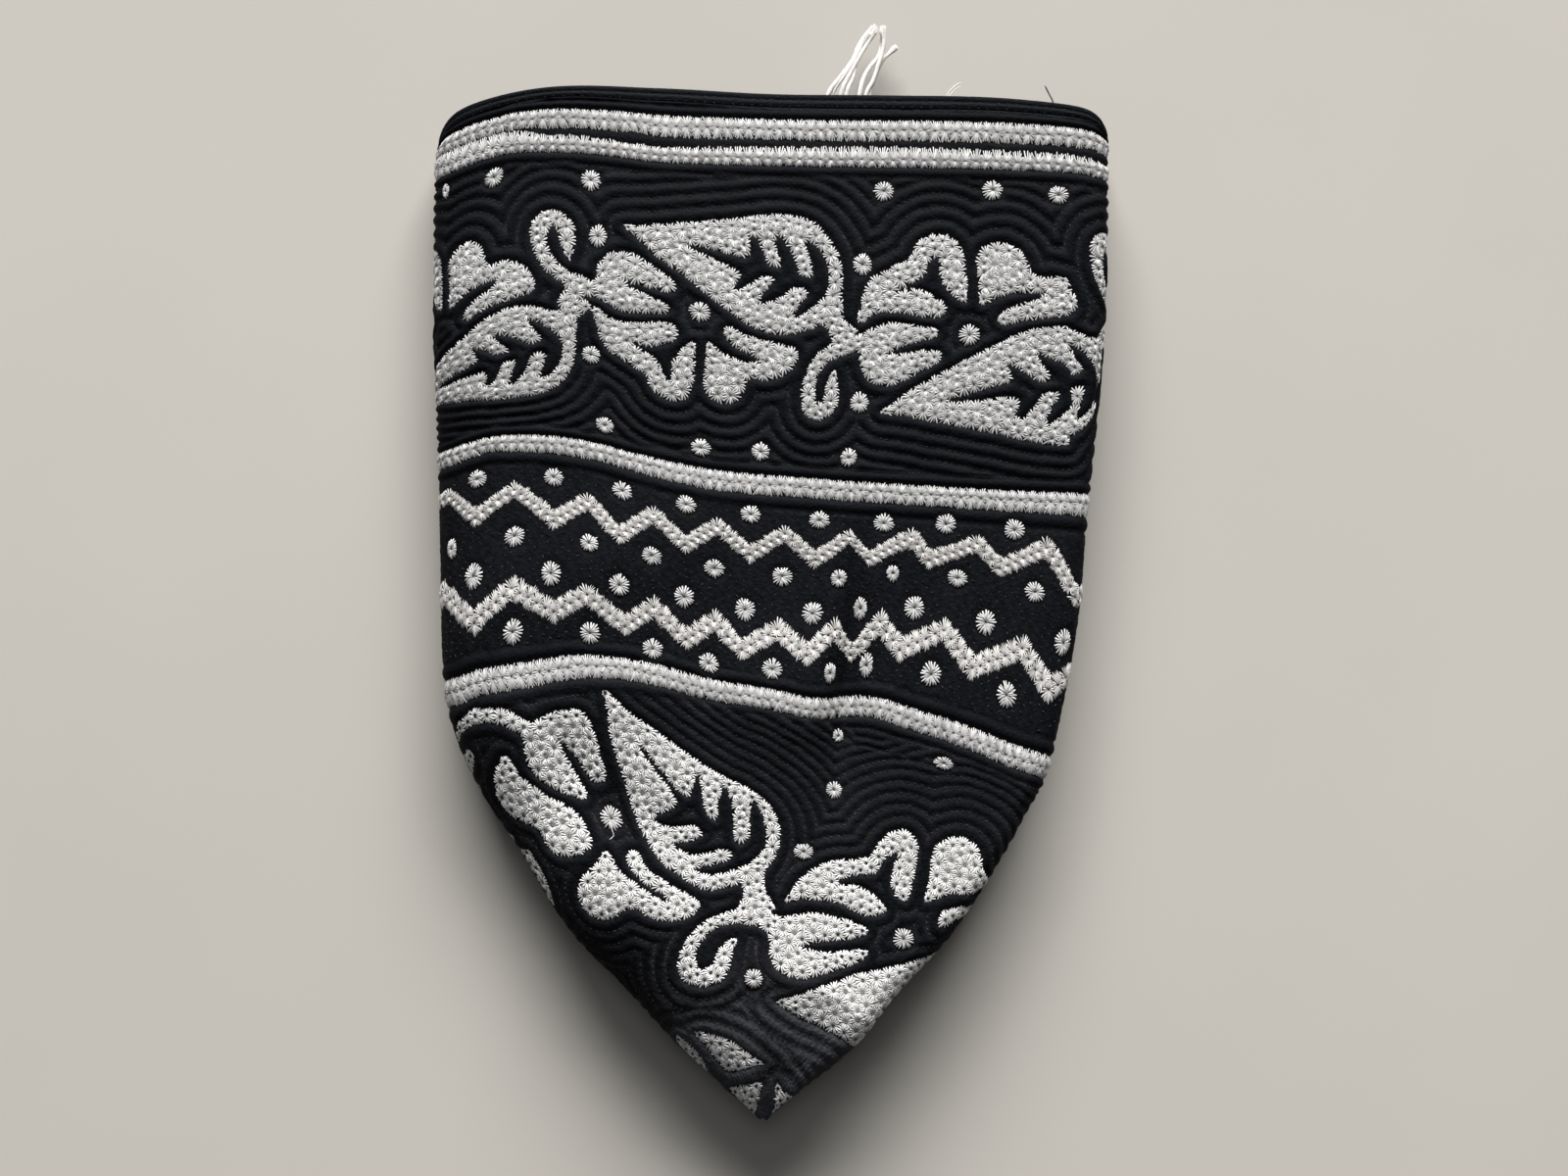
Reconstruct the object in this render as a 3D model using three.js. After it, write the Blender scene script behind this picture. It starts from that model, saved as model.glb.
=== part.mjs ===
import * as THREE from 'three';
import { mergeVertices } from 'three/addons/utils/BufferGeometryUtils.js';

// A corded and quilted prayer cap, folded flat into quarters and lying on a table.
// +X right and +Y from the tip of the crown to the rim, +Z up, origin under the middle of the cap.
// The folded cap is a closed loop of cloth with four layers: the top one, two inside, the bottom one.
// A wide roll at the left joins top and bottom, a valley fold inside it joins the two inner layers,
// and two tight folds at the right join the layers in pairs.

// Cloth and fold sizes, in millimetres
const CLOTH = 3.0; // thickness of the quilted cloth
const HEAD_GAP = 2.2; // between two layers that face each other inside the head hollow
const BACK_GAP = 0.6; // between the two inner layers, which touch back to back
const ROLL_REACH = 18.5; // how far in from the left edge the wide roll starts
const VALLEY_INSET = 17; // how far in from the left edge the valley fold turns
const NARROW_WIDTH = 45; // below this width the fold gets thinner towards the tip
const NARROW_POWER = 0.55;
const ROLL_SHARE = 0.42; // the most of the width that the roll takes near the tip
const VALLEY_SHARE = 0.36; // the same for the valley fold's inset
const PIECE_GAP = 0.3; // between two neighbouring pieces

// Seams, as distances from the rim edge along the cloth
const BINDING_HEIGHT = 4.2;
const WALL_HEIGHT = 128;
const CROWN_ARC = 98;
const HOLLOW_END = WALL_HEIGHT + CROWN_ARC - 13; // the hollow ends here, short of the tip
const TIP = WALL_HEIGHT + CROWN_ARC;
const CENTRE = { x: -0.25, y: 0.07 }; // middle of the outline below, which goes over the origin

// The folded outline. Each row is one ring of the cap, at its distance down from the rim edge.
// left, right: X of the two fold edges. y0 to y6: Y at seven even steps from left to right.
// lift: height of the bottom layer above the table. puff: how much the stack swells in its middle.
const RINGS = [
  { at: 0, left: -70.0, right: 69.8, y: [101.5, 107.6, 107.5, 106.3, 105.9, 105.4, 102.5], lift: 0, puff: 0.5 },
  { at: 14.5, left: -70.6, right: 70.0, y: [89.3, 96.1, 94.5, 93.0, 92.4, 92.4, 91.4], lift: 0, puff: 1.5 },
  { at: 47, left: -70.8, right: 69.6, y: [58.0, 62.5, 62.0, 60.0, 59.0, 58.4, 57.5], lift: 0, puff: 3.5 },
  { at: 83.5, left: -70.0, right: 66.7, y: [30.3, 33.4, 28.5, 25.2, 23.4, 22.1, 21.0], lift: 0, puff: 4.5 },
  { at: 106, left: -69.8, right: 65.0, y: [10.0, 13.0, 9.0, 5.3, 3.7, 0.8, -5.0], lift: 0, puff: 5.0 },
  { at: 128, left: -68.4, right: 58.0, y: [-18.9, -13.1, -13.3, -17.4, -20.6, -24.8, -33.2], lift: 0, puff: 5.5 },
  { at: 142, left: -62.4, right: 52.0, y: [-37.0, -29.5, -27.8, -29.2, -31.5, -36.0, -44.4], lift: 0.2, puff: 5.0 },
  { at: 156, left: -52.8, right: 45.0, y: [-52.0, -46.5, -42.5, -41.1, -42.5, -48.0, -56.6], lift: 0.8, puff: 4.2 },
  { at: 171, left: -42.4, right: 36.4, y: [-68.3, -61.0, -55.6, -53.8, -55.2, -60.2, -69.0], lift: 1.6, puff: 3.2 },
  { at: 186, left: -30.8, right: 26.3, y: [-80.0, -72.8, -69.1, -68.0, -69.1, -72.8, -80.0], lift: 2.6, puff: 2.2 },
  { at: 201, left: -20.5, right: 16.8, y: [-91.2, -86.0, -83.7, -83.0, -83.7, -86.1, -91.6], lift: 4.2, puff: 1.2 },
  { at: 214, left: -11.2, right: 7.0, y: [-100.0, -97.4, -96.4, -96.0, -96.4, -97.4, -100.0], lift: 6.4, puff: 0.4 },
  { at: 222, left: -5.4, right: 0.8, y: [-105.4, -104.5, -104.1, -104.0, -104.1, -104.5, -105.4], lift: 8.4, puff: 0 },
  { at: 226, left: -3.3, right: -1.3, y: [-107.9, -107.8, -107.7, -107.7, -107.7, -107.8, -107.9], lift: 9.6, puff: 0 },
];

// Dents and swellings of the top layer: a soft oval at x, y, its long half across the turn angle.
const DENTS = [
  { name: 'pinch', x: 16, y: -22, long: 20, short: 5, turn: 80, height: -2.4 },
  { name: 'pinch_shoulder', x: 2, y: -20, long: 16, short: 9, turn: 70, height: 1.0 },
  { name: 'left_swelling', x: -40, y: 6, long: 26, short: 12, turn: 20, height: 1.6 },
  { name: 'rim_left_dip', x: -50, y: 92, long: 22, short: 12, turn: 70, height: -1.0 },
  { name: 'right_hollow', x: 44, y: 8, long: 28, short: 12, turn: 95, height: -0.8 },
];

// How finely the loop is cut, as steps along each stretch
const STEPS = { top: 20, roll: 9, bottom: 12, fold: 4, inner: 13, valley: 4 };

// Smooth curve through evenly numbered values, by Catmull and Rom.
function smoothBetween(a, b, c, d, t) {
  const slopeB = (c - a) / 2;
  const slopeC = (d - b) / 2;
  const rise = c - b;
  return b + t * (slopeB + t * (3 * rise - 2 * slopeB - slopeC + t * (slopeB + slopeC - 2 * rise)));
}

function smoothAlong(values, place) {
  const last = values.length - 1;
  const i = Math.min(last - 1, Math.max(0, Math.floor(place)));
  const before = i > 0 ? values[i - 1] : 2 * values[0] - values[1];
  const after = i + 2 <= last ? values[i + 2] : 2 * values[last] - values[last - 1];
  return smoothBetween(before, values[i], values[i + 1], after, place - i);
}

// The row number, with its fraction, of a distance down from the rim edge.
function rowPlace(at) {
  let i = 0;
  while (i < RINGS.length - 2 && RINGS[i + 1].at < at) {
    i += 1;
  }
  return i + (at - RINGS[i].at) / (RINGS[i + 1].at - RINGS[i].at);
}

// One ring of the cap: its edges, its line across, its lift and its puff.
function ringAt(at) {
  const place = rowPlace(at);
  const column = (name) => smoothAlong(RINGS.map((row) => row[name]), place);
  const across = RINGS[0].y.map((unused, i) => smoothAlong(RINGS.map((row) => row.y[i]), place));
  const left = column('left');
  const right = column('right');
  const width = right - left;
  const narrow = Math.min(1, (width / NARROW_WIDTH) ** NARROW_POWER);
  return { left, width, across, lift: Math.max(0, column('lift')), puff: Math.max(0, column('puff')), narrow };
}

function planPoint(ring, inset) {
  const share = inset / ring.width;
  const y = smoothAlong(ring.across, Math.min(1, Math.max(0, share)) * (ring.across.length - 1));
  return { x: ring.left + inset - CENTRE.x, y: y - CENTRE.y };
}

function dentAt(x, y) {
  let height = 0;
  for (const dent of DENTS) {
    const turn = THREE.MathUtils.degToRad(dent.turn);
    const along = (x - dent.x) * Math.cos(turn) + (y - dent.y) * Math.sin(turn);
    const aside = (y - dent.y) * Math.cos(turn) - (x - dent.x) * Math.sin(turn);
    height += dent.height * Math.exp(-((along / dent.long) ** 2) - (aside / dent.short) ** 2);
  }
  return height;
}

// Heights of the middle of the four layers, bottom first, at an inset from the left edge.
function layerHeights(ring, inset) {
  const share = Math.min(1, Math.max(0, inset / ring.width));
  const swell = ring.puff * Math.sin(Math.PI * share) ** 0.8;
  const plan = planPoint(ring, inset);
  const fade = Math.sin(Math.PI * share) ** 0.5;
  const dent = dentAt(plan.x, plan.y) * fade;
  const cloth = CLOTH * ring.narrow;
  const bottom = ring.lift + cloth / 2;
  const third = bottom + cloth + HEAD_GAP * ring.narrow + swell * 0.22;
  const second = third + cloth + BACK_GAP * ring.narrow + swell * 0.56 + dent * 0.7;
  const top = second + cloth + HEAD_GAP * ring.narrow + swell * 0.22 + dent * 0.3;
  return { bottom, third, second, top };
}

// Points evenly spaced from one inset to another, along one layer.
function layerRun(ring, layer, from, to, steps) {
  return Array.from({ length: steps }, (unused, i) => {
    const inset = from + ((to - from) * i) / steps;
    return { inset, z: layerHeights(ring, inset)[layer] };
  });
}

// Half an oval that turns from one layer to another, reaching towards -X or +X.
function turnRun(inset, zFrom, zTo, reach, steps) {
  const middle = (zFrom + zTo) / 2;
  const half = (zFrom - zTo) / 2;
  return Array.from({ length: steps }, (unused, i) => {
    const angle = (Math.PI * i) / steps;
    return { inset: inset + reach * Math.sin(angle), z: middle + half * Math.cos(angle) };
  });
}

// The middle line of the cloth round the whole fold, starting at the right end of the top layer.
function foldLine(ring) {
  const half = (CLOTH * ring.narrow) / 2;
  const tight = half + (HEAD_GAP * ring.narrow) / 2;
  const start = ring.width - tight - half;
  const roll = Math.min(ROLL_REACH * ring.narrow, ROLL_SHARE * ring.width);
  const valley = Math.min(VALLEY_INSET * ring.narrow, VALLEY_SHARE * ring.width);
  const atStart = layerHeights(ring, start);
  const atRoll = layerHeights(ring, roll);
  const atValley = layerHeights(ring, valley);
  const back = (atValley.second - atValley.third) / 2;
  return [
    ...layerRun(ring, 'top', start, roll, STEPS.top),
    ...turnRun(roll, atRoll.top, atRoll.bottom, half - roll, STEPS.roll),
    ...layerRun(ring, 'bottom', roll, start, STEPS.bottom),
    ...turnRun(start, atStart.bottom, atStart.third, tight, STEPS.fold),
    ...layerRun(ring, 'third', start, valley, STEPS.inner),
    ...turnRun(valley, atValley.third, atValley.second, -back, STEPS.valley),
    ...layerRun(ring, 'second', valley, start, STEPS.inner),
    ...turnRun(start, atStart.second, atStart.top, tight, STEPS.fold),
  ];
}

// The outer or inner face of the cloth on one ring: the middle line moved half the thickness.
function faceLoop(at, side) {
  const ring = ringAt(at);
  const line = foldLine(ring);
  const half = (CLOTH * ring.narrow) / 2;
  return line.map((point, i) => {
    const before = line[(i + line.length - 1) % line.length];
    const after = line[(i + 1) % line.length];
    const length = Math.hypot(after.inset - before.inset, after.z - before.z);
    const inset = point.inset + (side * half * (after.z - before.z)) / length;
    const z = point.z - (side * half * (after.inset - before.inset)) / length;
    const plan = planPoint(ring, inset);
    return new THREE.Vector3(plan.x, plan.y, z);
  });
}

// Triangles between two loops of the same length. turned flips which side faces out.
function bandBetween(first, second, turned) {
  const triangles = [];
  first.forEach((a, i) => {
    const next = (i + 1) % first.length;
    const corners = [a, first[next], second[next], second[i]];
    if (turned) {
      corners.reverse();
    }
    triangles.push([corners[0], corners[1], corners[2]], [corners[0], corners[2], corners[3]]);
  });
  return triangles;
}

// Closes the end of a loop, in its X and Z outline. turned flips which side faces out.
function closeLoop(loop, turned) {
  const outline = loop.map((point) => new THREE.Vector2(point.x, point.z));
  const turnsLeft = !THREE.ShapeUtils.isClockWise(outline);
  return THREE.ShapeUtils.triangulateShape(outline, []).map((corners) => {
    const triangle = corners.map((i) => loop[i]);
    const sign = new THREE.Vector2().subVectors(outline[corners[1]], outline[corners[0]])
      .cross(new THREE.Vector2().subVectors(outline[corners[2]], outline[corners[0]]));
    const facesLeft = sign > 0;
    return facesLeft === turnsLeft !== turned ? triangle : triangle.reverse();
  });
}

function meshFrom(name, triangles, material) {
  const geometry = new THREE.BufferGeometry();
  const numbers = triangles.flatMap((triangle) => triangle.flatMap((p) => [p.x, p.y, p.z]));
  geometry.setAttribute('position', new THREE.Float32BufferAttribute(numbers, 3));
  const merged = mergeVertices(geometry, 1e-4);
  merged.computeVertexNormals();
  const mesh = new THREE.Mesh(merged, material);
  mesh.name = name;
  return mesh;
}

function evenStations(from, to, count) {
  return Array.from({ length: count + 1 }, (unused, i) => from + ((to - from) * i) / count);
}

// A length of the folded cap that is open at both ends.
function foldedBand(name, from, to, steps, material) {
  const stations = evenStations(from, to, steps);
  const outer = stations.map((at) => faceLoop(at, 1));
  const inner = stations.map((at) => faceLoop(at, -1));
  const triangles = [...bandBetween(inner[0], outer[0], false), ...bandBetween(outer[steps], inner[steps], false)];
  for (let i = 0; i < steps; i += 1) {
    triangles.push(...bandBetween(outer[i], outer[i + 1], false));
    triangles.push(...bandBetween(inner[i + 1], inner[i], false));
  }
  return meshFrom(name, triangles, material);
}

// The crown: the same fold, closed at the tip, with a hollow that ends short of it.
function foldedCrown(name, from, steps, tipSteps, material) {
  const stations = [...evenStations(from, HOLLOW_END, steps), ...evenStations(HOLLOW_END, TIP, tipSteps).slice(1)];
  const outer = stations.map((at) => faceLoop(at, 1));
  const inner = stations.slice(0, steps + 1).map((at) => faceLoop(at, -1));
  const triangles = [...bandBetween(inner[0], outer[0], false)];
  for (let i = 0; i < outer.length - 1; i += 1) {
    triangles.push(...bandBetween(outer[i], outer[i + 1], false));
  }
  for (let i = 0; i < steps; i += 1) {
    triangles.push(...bandBetween(inner[i + 1], inner[i], false));
  }
  triangles.push(...closeLoop(outer[outer.length - 1], false));
  triangles.push(...closeLoop(inner[steps], true));
  return meshFrom(name, triangles, material);
}

const blackCotton = new THREE.MeshStandardMaterial({ color: 0x14161c, roughness: 0.9, metalness: 0 });
const blackBinding = new THREE.MeshStandardMaterial({ color: 0x101218, roughness: 0.95, metalness: 0 });
const crownCotton = new THREE.MeshStandardMaterial({ color: 0x16181e, roughness: 0.9, metalness: 0 });

const group = new THREE.Group();
group.add(foldedBand('rim_binding', 0, BINDING_HEIGHT, 2, blackBinding));
group.add(foldedBand('side_wall', BINDING_HEIGHT + PIECE_GAP, WALL_HEIGHT, 14, blackCotton));
group.add(foldedCrown('crown', WALL_HEIGHT + PIECE_GAP, 9, 4, crownCotton));

export default group;
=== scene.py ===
"""A corded and quilted prayer cap, folded flat into quarters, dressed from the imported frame."""
import math

import bpy
import numpy as np
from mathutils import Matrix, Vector


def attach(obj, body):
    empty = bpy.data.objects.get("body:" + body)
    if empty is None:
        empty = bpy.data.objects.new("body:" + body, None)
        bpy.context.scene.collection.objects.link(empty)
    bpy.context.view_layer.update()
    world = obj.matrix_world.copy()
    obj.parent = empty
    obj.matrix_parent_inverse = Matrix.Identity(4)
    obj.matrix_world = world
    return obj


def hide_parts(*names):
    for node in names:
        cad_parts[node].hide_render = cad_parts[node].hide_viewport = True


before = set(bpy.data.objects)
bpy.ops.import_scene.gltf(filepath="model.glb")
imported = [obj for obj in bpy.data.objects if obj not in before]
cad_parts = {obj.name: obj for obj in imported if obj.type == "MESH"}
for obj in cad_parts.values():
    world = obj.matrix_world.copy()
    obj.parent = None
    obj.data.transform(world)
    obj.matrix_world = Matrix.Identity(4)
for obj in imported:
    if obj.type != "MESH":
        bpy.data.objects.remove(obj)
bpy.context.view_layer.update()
rng = np.random.default_rng(11)

# Lengths are in millimetres until a mesh is made.
MM = 0.001

# The folded cloth, as in the CAD source
CLOTH = 3.0
HEAD_GAP = 2.2
BACK_GAP = 0.6
ROLL_REACH = 18.5
VALLEY_INSET = 17
NARROW_WIDTH = 45
NARROW_POWER = 0.55
ROLL_SHARE = 0.42
VALLEY_SHARE = 0.36
BINDING_HEIGHT = 4.9
WALL_HEIGHT = 128.0
HOLLOW_END = 213.0
TIP = 226.0
CENTRE = (-0.25, 0.07)

# Distance from the rim, left edge, right edge, seven Y values from left to right, lift, puff
RINGS = np.array([
    [0, -70.0, 69.4, 103.2, 107.8, 107.6, 106.4, 106.2, 105.7, 103.4, 0, 0.5],
    [14.5, -71.0, 69.6, 89.3, 96.1, 94.5, 93.0, 92.4, 92.4, 91.4, 0, 1.5],
    [47, -71.2, 68.9, 58.0, 62.5, 62.0, 60.0, 59.0, 58.4, 57.5, 0, 3.5],
    [83.5, -70.2, 65.5, 30.3, 33.4, 28.5, 25.2, 23.4, 22.1, 21.0, 0, 4.5],
    [106, -69.8, 63.2, 10.0, 13.0, 9.0, 5.3, 3.7, 0.8, -5.0, 0, 5.0],
    [128, -68.6, 57.4, -18.9, -13.1, -13.3, -17.4, -20.6, -24.8, -33.2, 0, 5.5],
    [142, -62.4, 52.0, -37.0, -29.5, -27.8, -29.2, -31.5, -36.0, -44.4, 0.2, 5.0],
    [156, -52.8, 45.0, -52.0, -46.5, -42.5, -41.1, -42.5, -48.0, -56.6, 0.8, 4.2],
    [171, -42.4, 36.4, -68.3, -61.0, -55.6, -53.8, -55.2, -60.2, -69.0, 1.6, 3.2],
    [186, -30.8, 26.3, -80.0, -72.8, -69.1, -68.0, -69.1, -72.8, -80.0, 2.6, 2.2],
    [201, -20.5, 16.8, -91.2, -86.0, -83.7, -83.0, -83.7, -86.1, -91.6, 4.2, 1.2],
    [214, -11.2, 7.0, -100.0, -97.4, -96.4, -96.0, -96.4, -97.4, -100.0, 6.4, 0.4],
    [222, -5.4, 0.8, -105.4, -104.5, -104.1, -104.0, -104.1, -104.5, -105.4, 8.4, 0],
    [226, -3.3, -1.3, -107.9, -107.8, -107.7, -107.7, -107.7, -107.8, -107.9, 9.6, 0],
])

# x, y, long half, short half, turn in degrees, height
DENTS = [
    (16, -22, 20, 5, 80, -2.4),
    (2, -20, 16, 9, 70, 1.0),
    (-40, 6, 26, 12, 20, 1.6),
    (-50, 92, 22, 12, 70, -1.0),
    (44, 8, 28, 12, 95, -0.8),
    (-40, -19, 24, 8, 4, 1.1),
    (-37, -40, 20, 8, -30, -2.2),
]

# The camera looks straight down, as in the photograph of 1600 by 1200 pixels.
PHOTO = (1600, 1200)
CAMERA = (2.46, 3.28, 520.0)
MIDDLE_HEIGHT = 11.5
CHART_SCALE = 4.88  # pixels of the photograph to a millimetre, at the cap's middle height
FOCAL_PIXELS = CHART_SCALE * (CAMERA[2] - MIDDLE_HEIGHT)
SENSOR = 36.0


def add_camera():
    data = bpy.data.cameras.new("camera")
    data.sensor_width = SENSOR
    data.lens = SENSOR * FOCAL_PIXELS / PHOTO[0]
    data.clip_start, data.clip_end = 0.01, 20
    camera = bpy.data.objects.new("camera", data)
    camera.location = [c * MM for c in CAMERA]
    bpy.context.scene.collection.objects.link(camera)
    bpy.context.scene.camera = camera


add_camera()


def smooth_along(values, place):
    """Catmull and Rom's curve through evenly numbered rows."""
    last = len(values) - 1
    i = np.clip(np.floor(place).astype(int), 0, last - 1)
    t = place - i
    ends = [2 * values[:1] - values[1:2], values, 2 * values[-1:] - values[-2:-1]]
    a, b, c, d = (np.concatenate(ends)[i + k] for k in range(4))
    slope_b, slope_c, rise = (c - a) / 2, (d - b) / 2, c - b
    bend = t * (slope_b + slope_c - 2 * rise)
    return b + t * (slope_b + t * (3 * rise - 2 * slope_b - slope_c + bend))


CORNER_DROP = 5.0  # the rim is rounded off at both folds by this much
CORNER_REACH = 2.2  # and this far along it
CORNER_DEPTH = 9.0  # and this far down from it


def ring_at(at):
    i = int(np.clip(np.searchsorted(RINGS[:, 0], at) - 1, 0, len(RINGS) - 2))
    place = np.array(i + (at - RINGS[i, 0]) / (RINGS[i + 1, 0] - RINGS[i, 0]))
    row = smooth_along(RINGS, place)
    width = row[2] - row[1]
    return {
        "left": row[1], "width": width, "y": row[3:10], "lift": max(0, row[10]), "puff": max(0, row[11]),
        "narrow": min(1.0, (width / NARROW_WIDTH) ** NARROW_POWER),
        "corner": CORNER_DROP * math.exp(-((at / CORNER_DEPTH) ** 2)),
    }


def plan_point(ring, inset):
    share = np.clip(inset / ring["width"], 0, 1)
    from_fold = np.minimum(share, 1 - share) * ring["width"]
    y = smooth_along(ring["y"], share * 6) - ring["corner"] * np.exp(-from_fold / CORNER_REACH)
    return ring["left"] + inset - CENTRE[0], y - CENTRE[1]


def dent_at(x, y):
    """Height of the low dents and swells under a point."""
    height = 0
    for at_x, at_y, long_half, short_half, turn, depth in DENTS:
        c, s = math.cos(math.radians(turn)), math.sin(math.radians(turn))
        along = (x - at_x) * c + (y - at_y) * s
        aside = (y - at_y) * c - (x - at_x) * s
        height = height + depth * np.exp(-((along / long_half) ** 2) - (aside / short_half) ** 2)
    return height


def layer_heights(ring, inset):
    """Heights of the middle of the four layers. The gaps between them share the puff and the dents."""
    wave = np.sin(np.pi * np.clip(inset / ring["width"], 0, 1))
    swell = ring["puff"] * wave**0.8
    dent = dent_at(*plan_point(ring, inset)) * wave**0.5
    cloth, head_gap, back_gap = (size * ring["narrow"] for size in (CLOTH, HEAD_GAP, BACK_GAP))
    bottom = np.full_like(swell, ring["lift"] + cloth / 2)
    third = bottom + cloth + head_gap + 0.22 * swell
    second = third + cloth + back_gap + 0.56 * swell + 0.7 * dent
    top = second + cloth + head_gap + 0.22 * swell + 0.3 * dent
    return {"bottom": bottom, "third": third, "second": second, "top": top}


def fold_line(ring):
    """Middle line of the cloth round the fold, and where each of its eight stretches starts."""
    half = CLOTH * ring["narrow"] / 2
    tight = half + HEAD_GAP * ring["narrow"] / 2
    start = ring["width"] - tight - half
    roll = min(ROLL_REACH * ring["narrow"], ROLL_SHARE * ring["width"])
    valley = min(VALLEY_INSET * ring["narrow"], VALLEY_SHARE * ring["width"])

    def run(layer, first, last, steps):
        inset = first + (last - first) * np.arange(steps) / steps
        return inset, layer_heights(ring, inset)[layer]

    def turn(inset, above, below, reach, steps):
        heights = layer_heights(ring, np.array([inset]))
        high, low = heights[above][0], heights[below][0]
        reach = -abs(high - low) / 2 if reach is None else reach
        angle = np.pi * np.arange(steps) / steps
        return inset + reach * np.sin(angle), (high + low) / 2 + (high - low) / 2 * np.cos(angle)

    # The last number of each is its count of points.
    stretches = [
        run("top", start, roll, 220),
        turn(roll, "top", "bottom", half - roll, 110),
        run("bottom", roll, start, 140),
        turn(start, "bottom", "third", tight, 50),
        run("third", start, valley, 100),
        turn(valley, "third", "second", None, 36),
        run("second", valley, start, 100),
        turn(start, "second", "top", tight, 50),
    ]
    starts = np.cumsum([0] + [len(s[0]) for s in stretches])
    inset, height = np.hstack(stretches)
    return inset, height, starts


# The cloth's place is u, v: v is the distance from the rim, and u counts panels round the cap.
# Panel 0 to 1 is the shown one, 1 to 2 and 2 to 3 are folded inside, 3 to 4 lies on the table.
V_STEP = 0.5
COLUMNS = 2048
CREASE = (17.8, 12.0, 14.2, -24.0)  # x and y of its two ends


def crease(x, y):
    """The pinch in the shown panel: a narrow valley with soft shoulders."""
    x0, y0, x1, y1 = CREASE
    length = math.hypot(x1 - x0, y1 - y0)
    along = ((x - x0) * (x1 - x0) + (y - y0) * (y1 - y0)) / length**2
    aside = ((x - x0) * (y1 - y0) - (y - y0) * (x1 - x0)) / length
    fade = np.exp(-(((along - 0.55) / 0.55) ** 4))
    shoulders = 0.7 * np.exp(-(((np.abs(aside) - 4.4) / 2.4) ** 2))
    return fade * (shoulders - np.exp(-((aside / 1.5) ** 2)))


def cloth_table():
    """Outer and inner face of the cloth on a grid of v and u."""
    rows = np.arange(0, TIP + V_STEP / 2, V_STEP)
    u = 4 * np.arange(COLUMNS) / COLUMNS
    outer, inner = np.zeros((2, len(rows), COLUMNS, 3))
    for k, at in enumerate(rows):
        ring = ring_at(at)
        inset, z, starts = fold_line(ring)
        half = CLOTH * ring["narrow"] / 2
        d_inset, d_z = np.roll(inset, -1) - np.roll(inset, 1), np.roll(z, -1) - np.roll(z, 1)
        length = np.hypot(d_inset, d_z)
        faces = []
        for side in (1, -1):
            moved = inset + side * half * d_z / length
            x, y = plan_point(ring, moved)
            faces.append(np.column_stack([x, y, z - side * half * d_inset / length]))
        x = faces[0][:, 0]
        # The four folds are the outermost points of the four turns.
        folds = [starts[k] + int(outermost(x[starts[k]:starts[k + 1]]))
                 for k, outermost in ((7, np.argmax), (1, np.argmin), (3, np.argmax), (5, np.argmin))]
        first, count = folds[0], len(x)
        faces = [np.roll(face, -first, axis=0) for face in faces]
        faces = [np.vstack([face, face[:1]]) for face in faces]
        marks = [(fold - first) % count for fold in folds] + [count]
        travelled = np.concatenate([[0], np.cumsum(np.linalg.norm(np.diff(faces[0], axis=0), axis=1))])
        place = np.interp(np.interp((1 - u) % 4, range(5), travelled[marks]), travelled, np.arange(count + 1))
        for face, table in zip(faces, (outer, inner)):
            for axis in range(3):
                table[k, :, axis] = np.interp(place, np.arange(count + 1), face[:, axis])
    shown = u < 1
    for table in (outer, inner):
        table[:, shown, 2] += crease(table[:, shown, 0], table[:, shown, 1]) * np.sin(np.pi * u[shown]) ** 0.5
    along_u = np.roll(outer, -1, axis=1) - np.roll(outer, 1, axis=1)
    normal = np.cross(np.gradient(outer, axis=0), along_u)
    normal /= np.maximum(np.linalg.norm(normal, axis=2, keepdims=True), 1e-12)
    reach = np.linalg.norm(along_u, axis=2) * COLUMNS / 8
    return outer, inner, normal, reach


OUTER, INNER, NORMAL, REACH = cloth_table()
PANEL_LENGTH = REACH[:, : COLUMNS // 4].mean(axis=1)


def sample(table, u, v):
    """Value of a table between its grid points."""
    col = (np.asarray(u) % 4) * COLUMNS / 4
    row = np.clip(np.asarray(v) / V_STEP, 0, len(table) - 1.0001)
    c, r = np.floor(col).astype(int), np.floor(row).astype(int)
    s, t = col - c, row - r
    if table.ndim == 3:
        s, t = s[..., None], t[..., None]
    c, d = c % COLUMNS, (c + 1) % COLUMNS
    upper, lower = ((1 - s) * table[k, c] + s * table[k, d] for k in (r, r + 1))
    return (1 - t) * upper + t * lower


GROUND_SINK = 0.35  # the bottom of the grooves lies this far under the CAD's face


def on_cloth(u, v, height=0.0):
    """Points at a height above the bottom of the grooves."""
    return sample(OUTER, u, v) + sample(NORMAL, u, v) * (np.asarray(height)[..., None] - GROUND_SINK)


def step(u, v, right, down):
    """The place that lies right and down of a place, in millimetres along the cloth."""
    return u + right / np.maximum(sample(REACH, u, v), 4.0), v + down


def to_photo(points):
    depth = (CAMERA[2] - points[..., 2]) / FOCAL_PIXELS
    px = PHOTO[0] / 2 + (points[..., 0] - CAMERA[0]) / depth
    py = PHOTO[1] / 2 - (points[..., 1] - CAMERA[1]) / depth
    return np.stack([px, py], axis=-1)


CHART_HEIGHT = 0.3  # the charted threads lie this high
SLOPE_U, SLOPE_V = 0.002, 0.3  # steps over which slopes are taken


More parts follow.
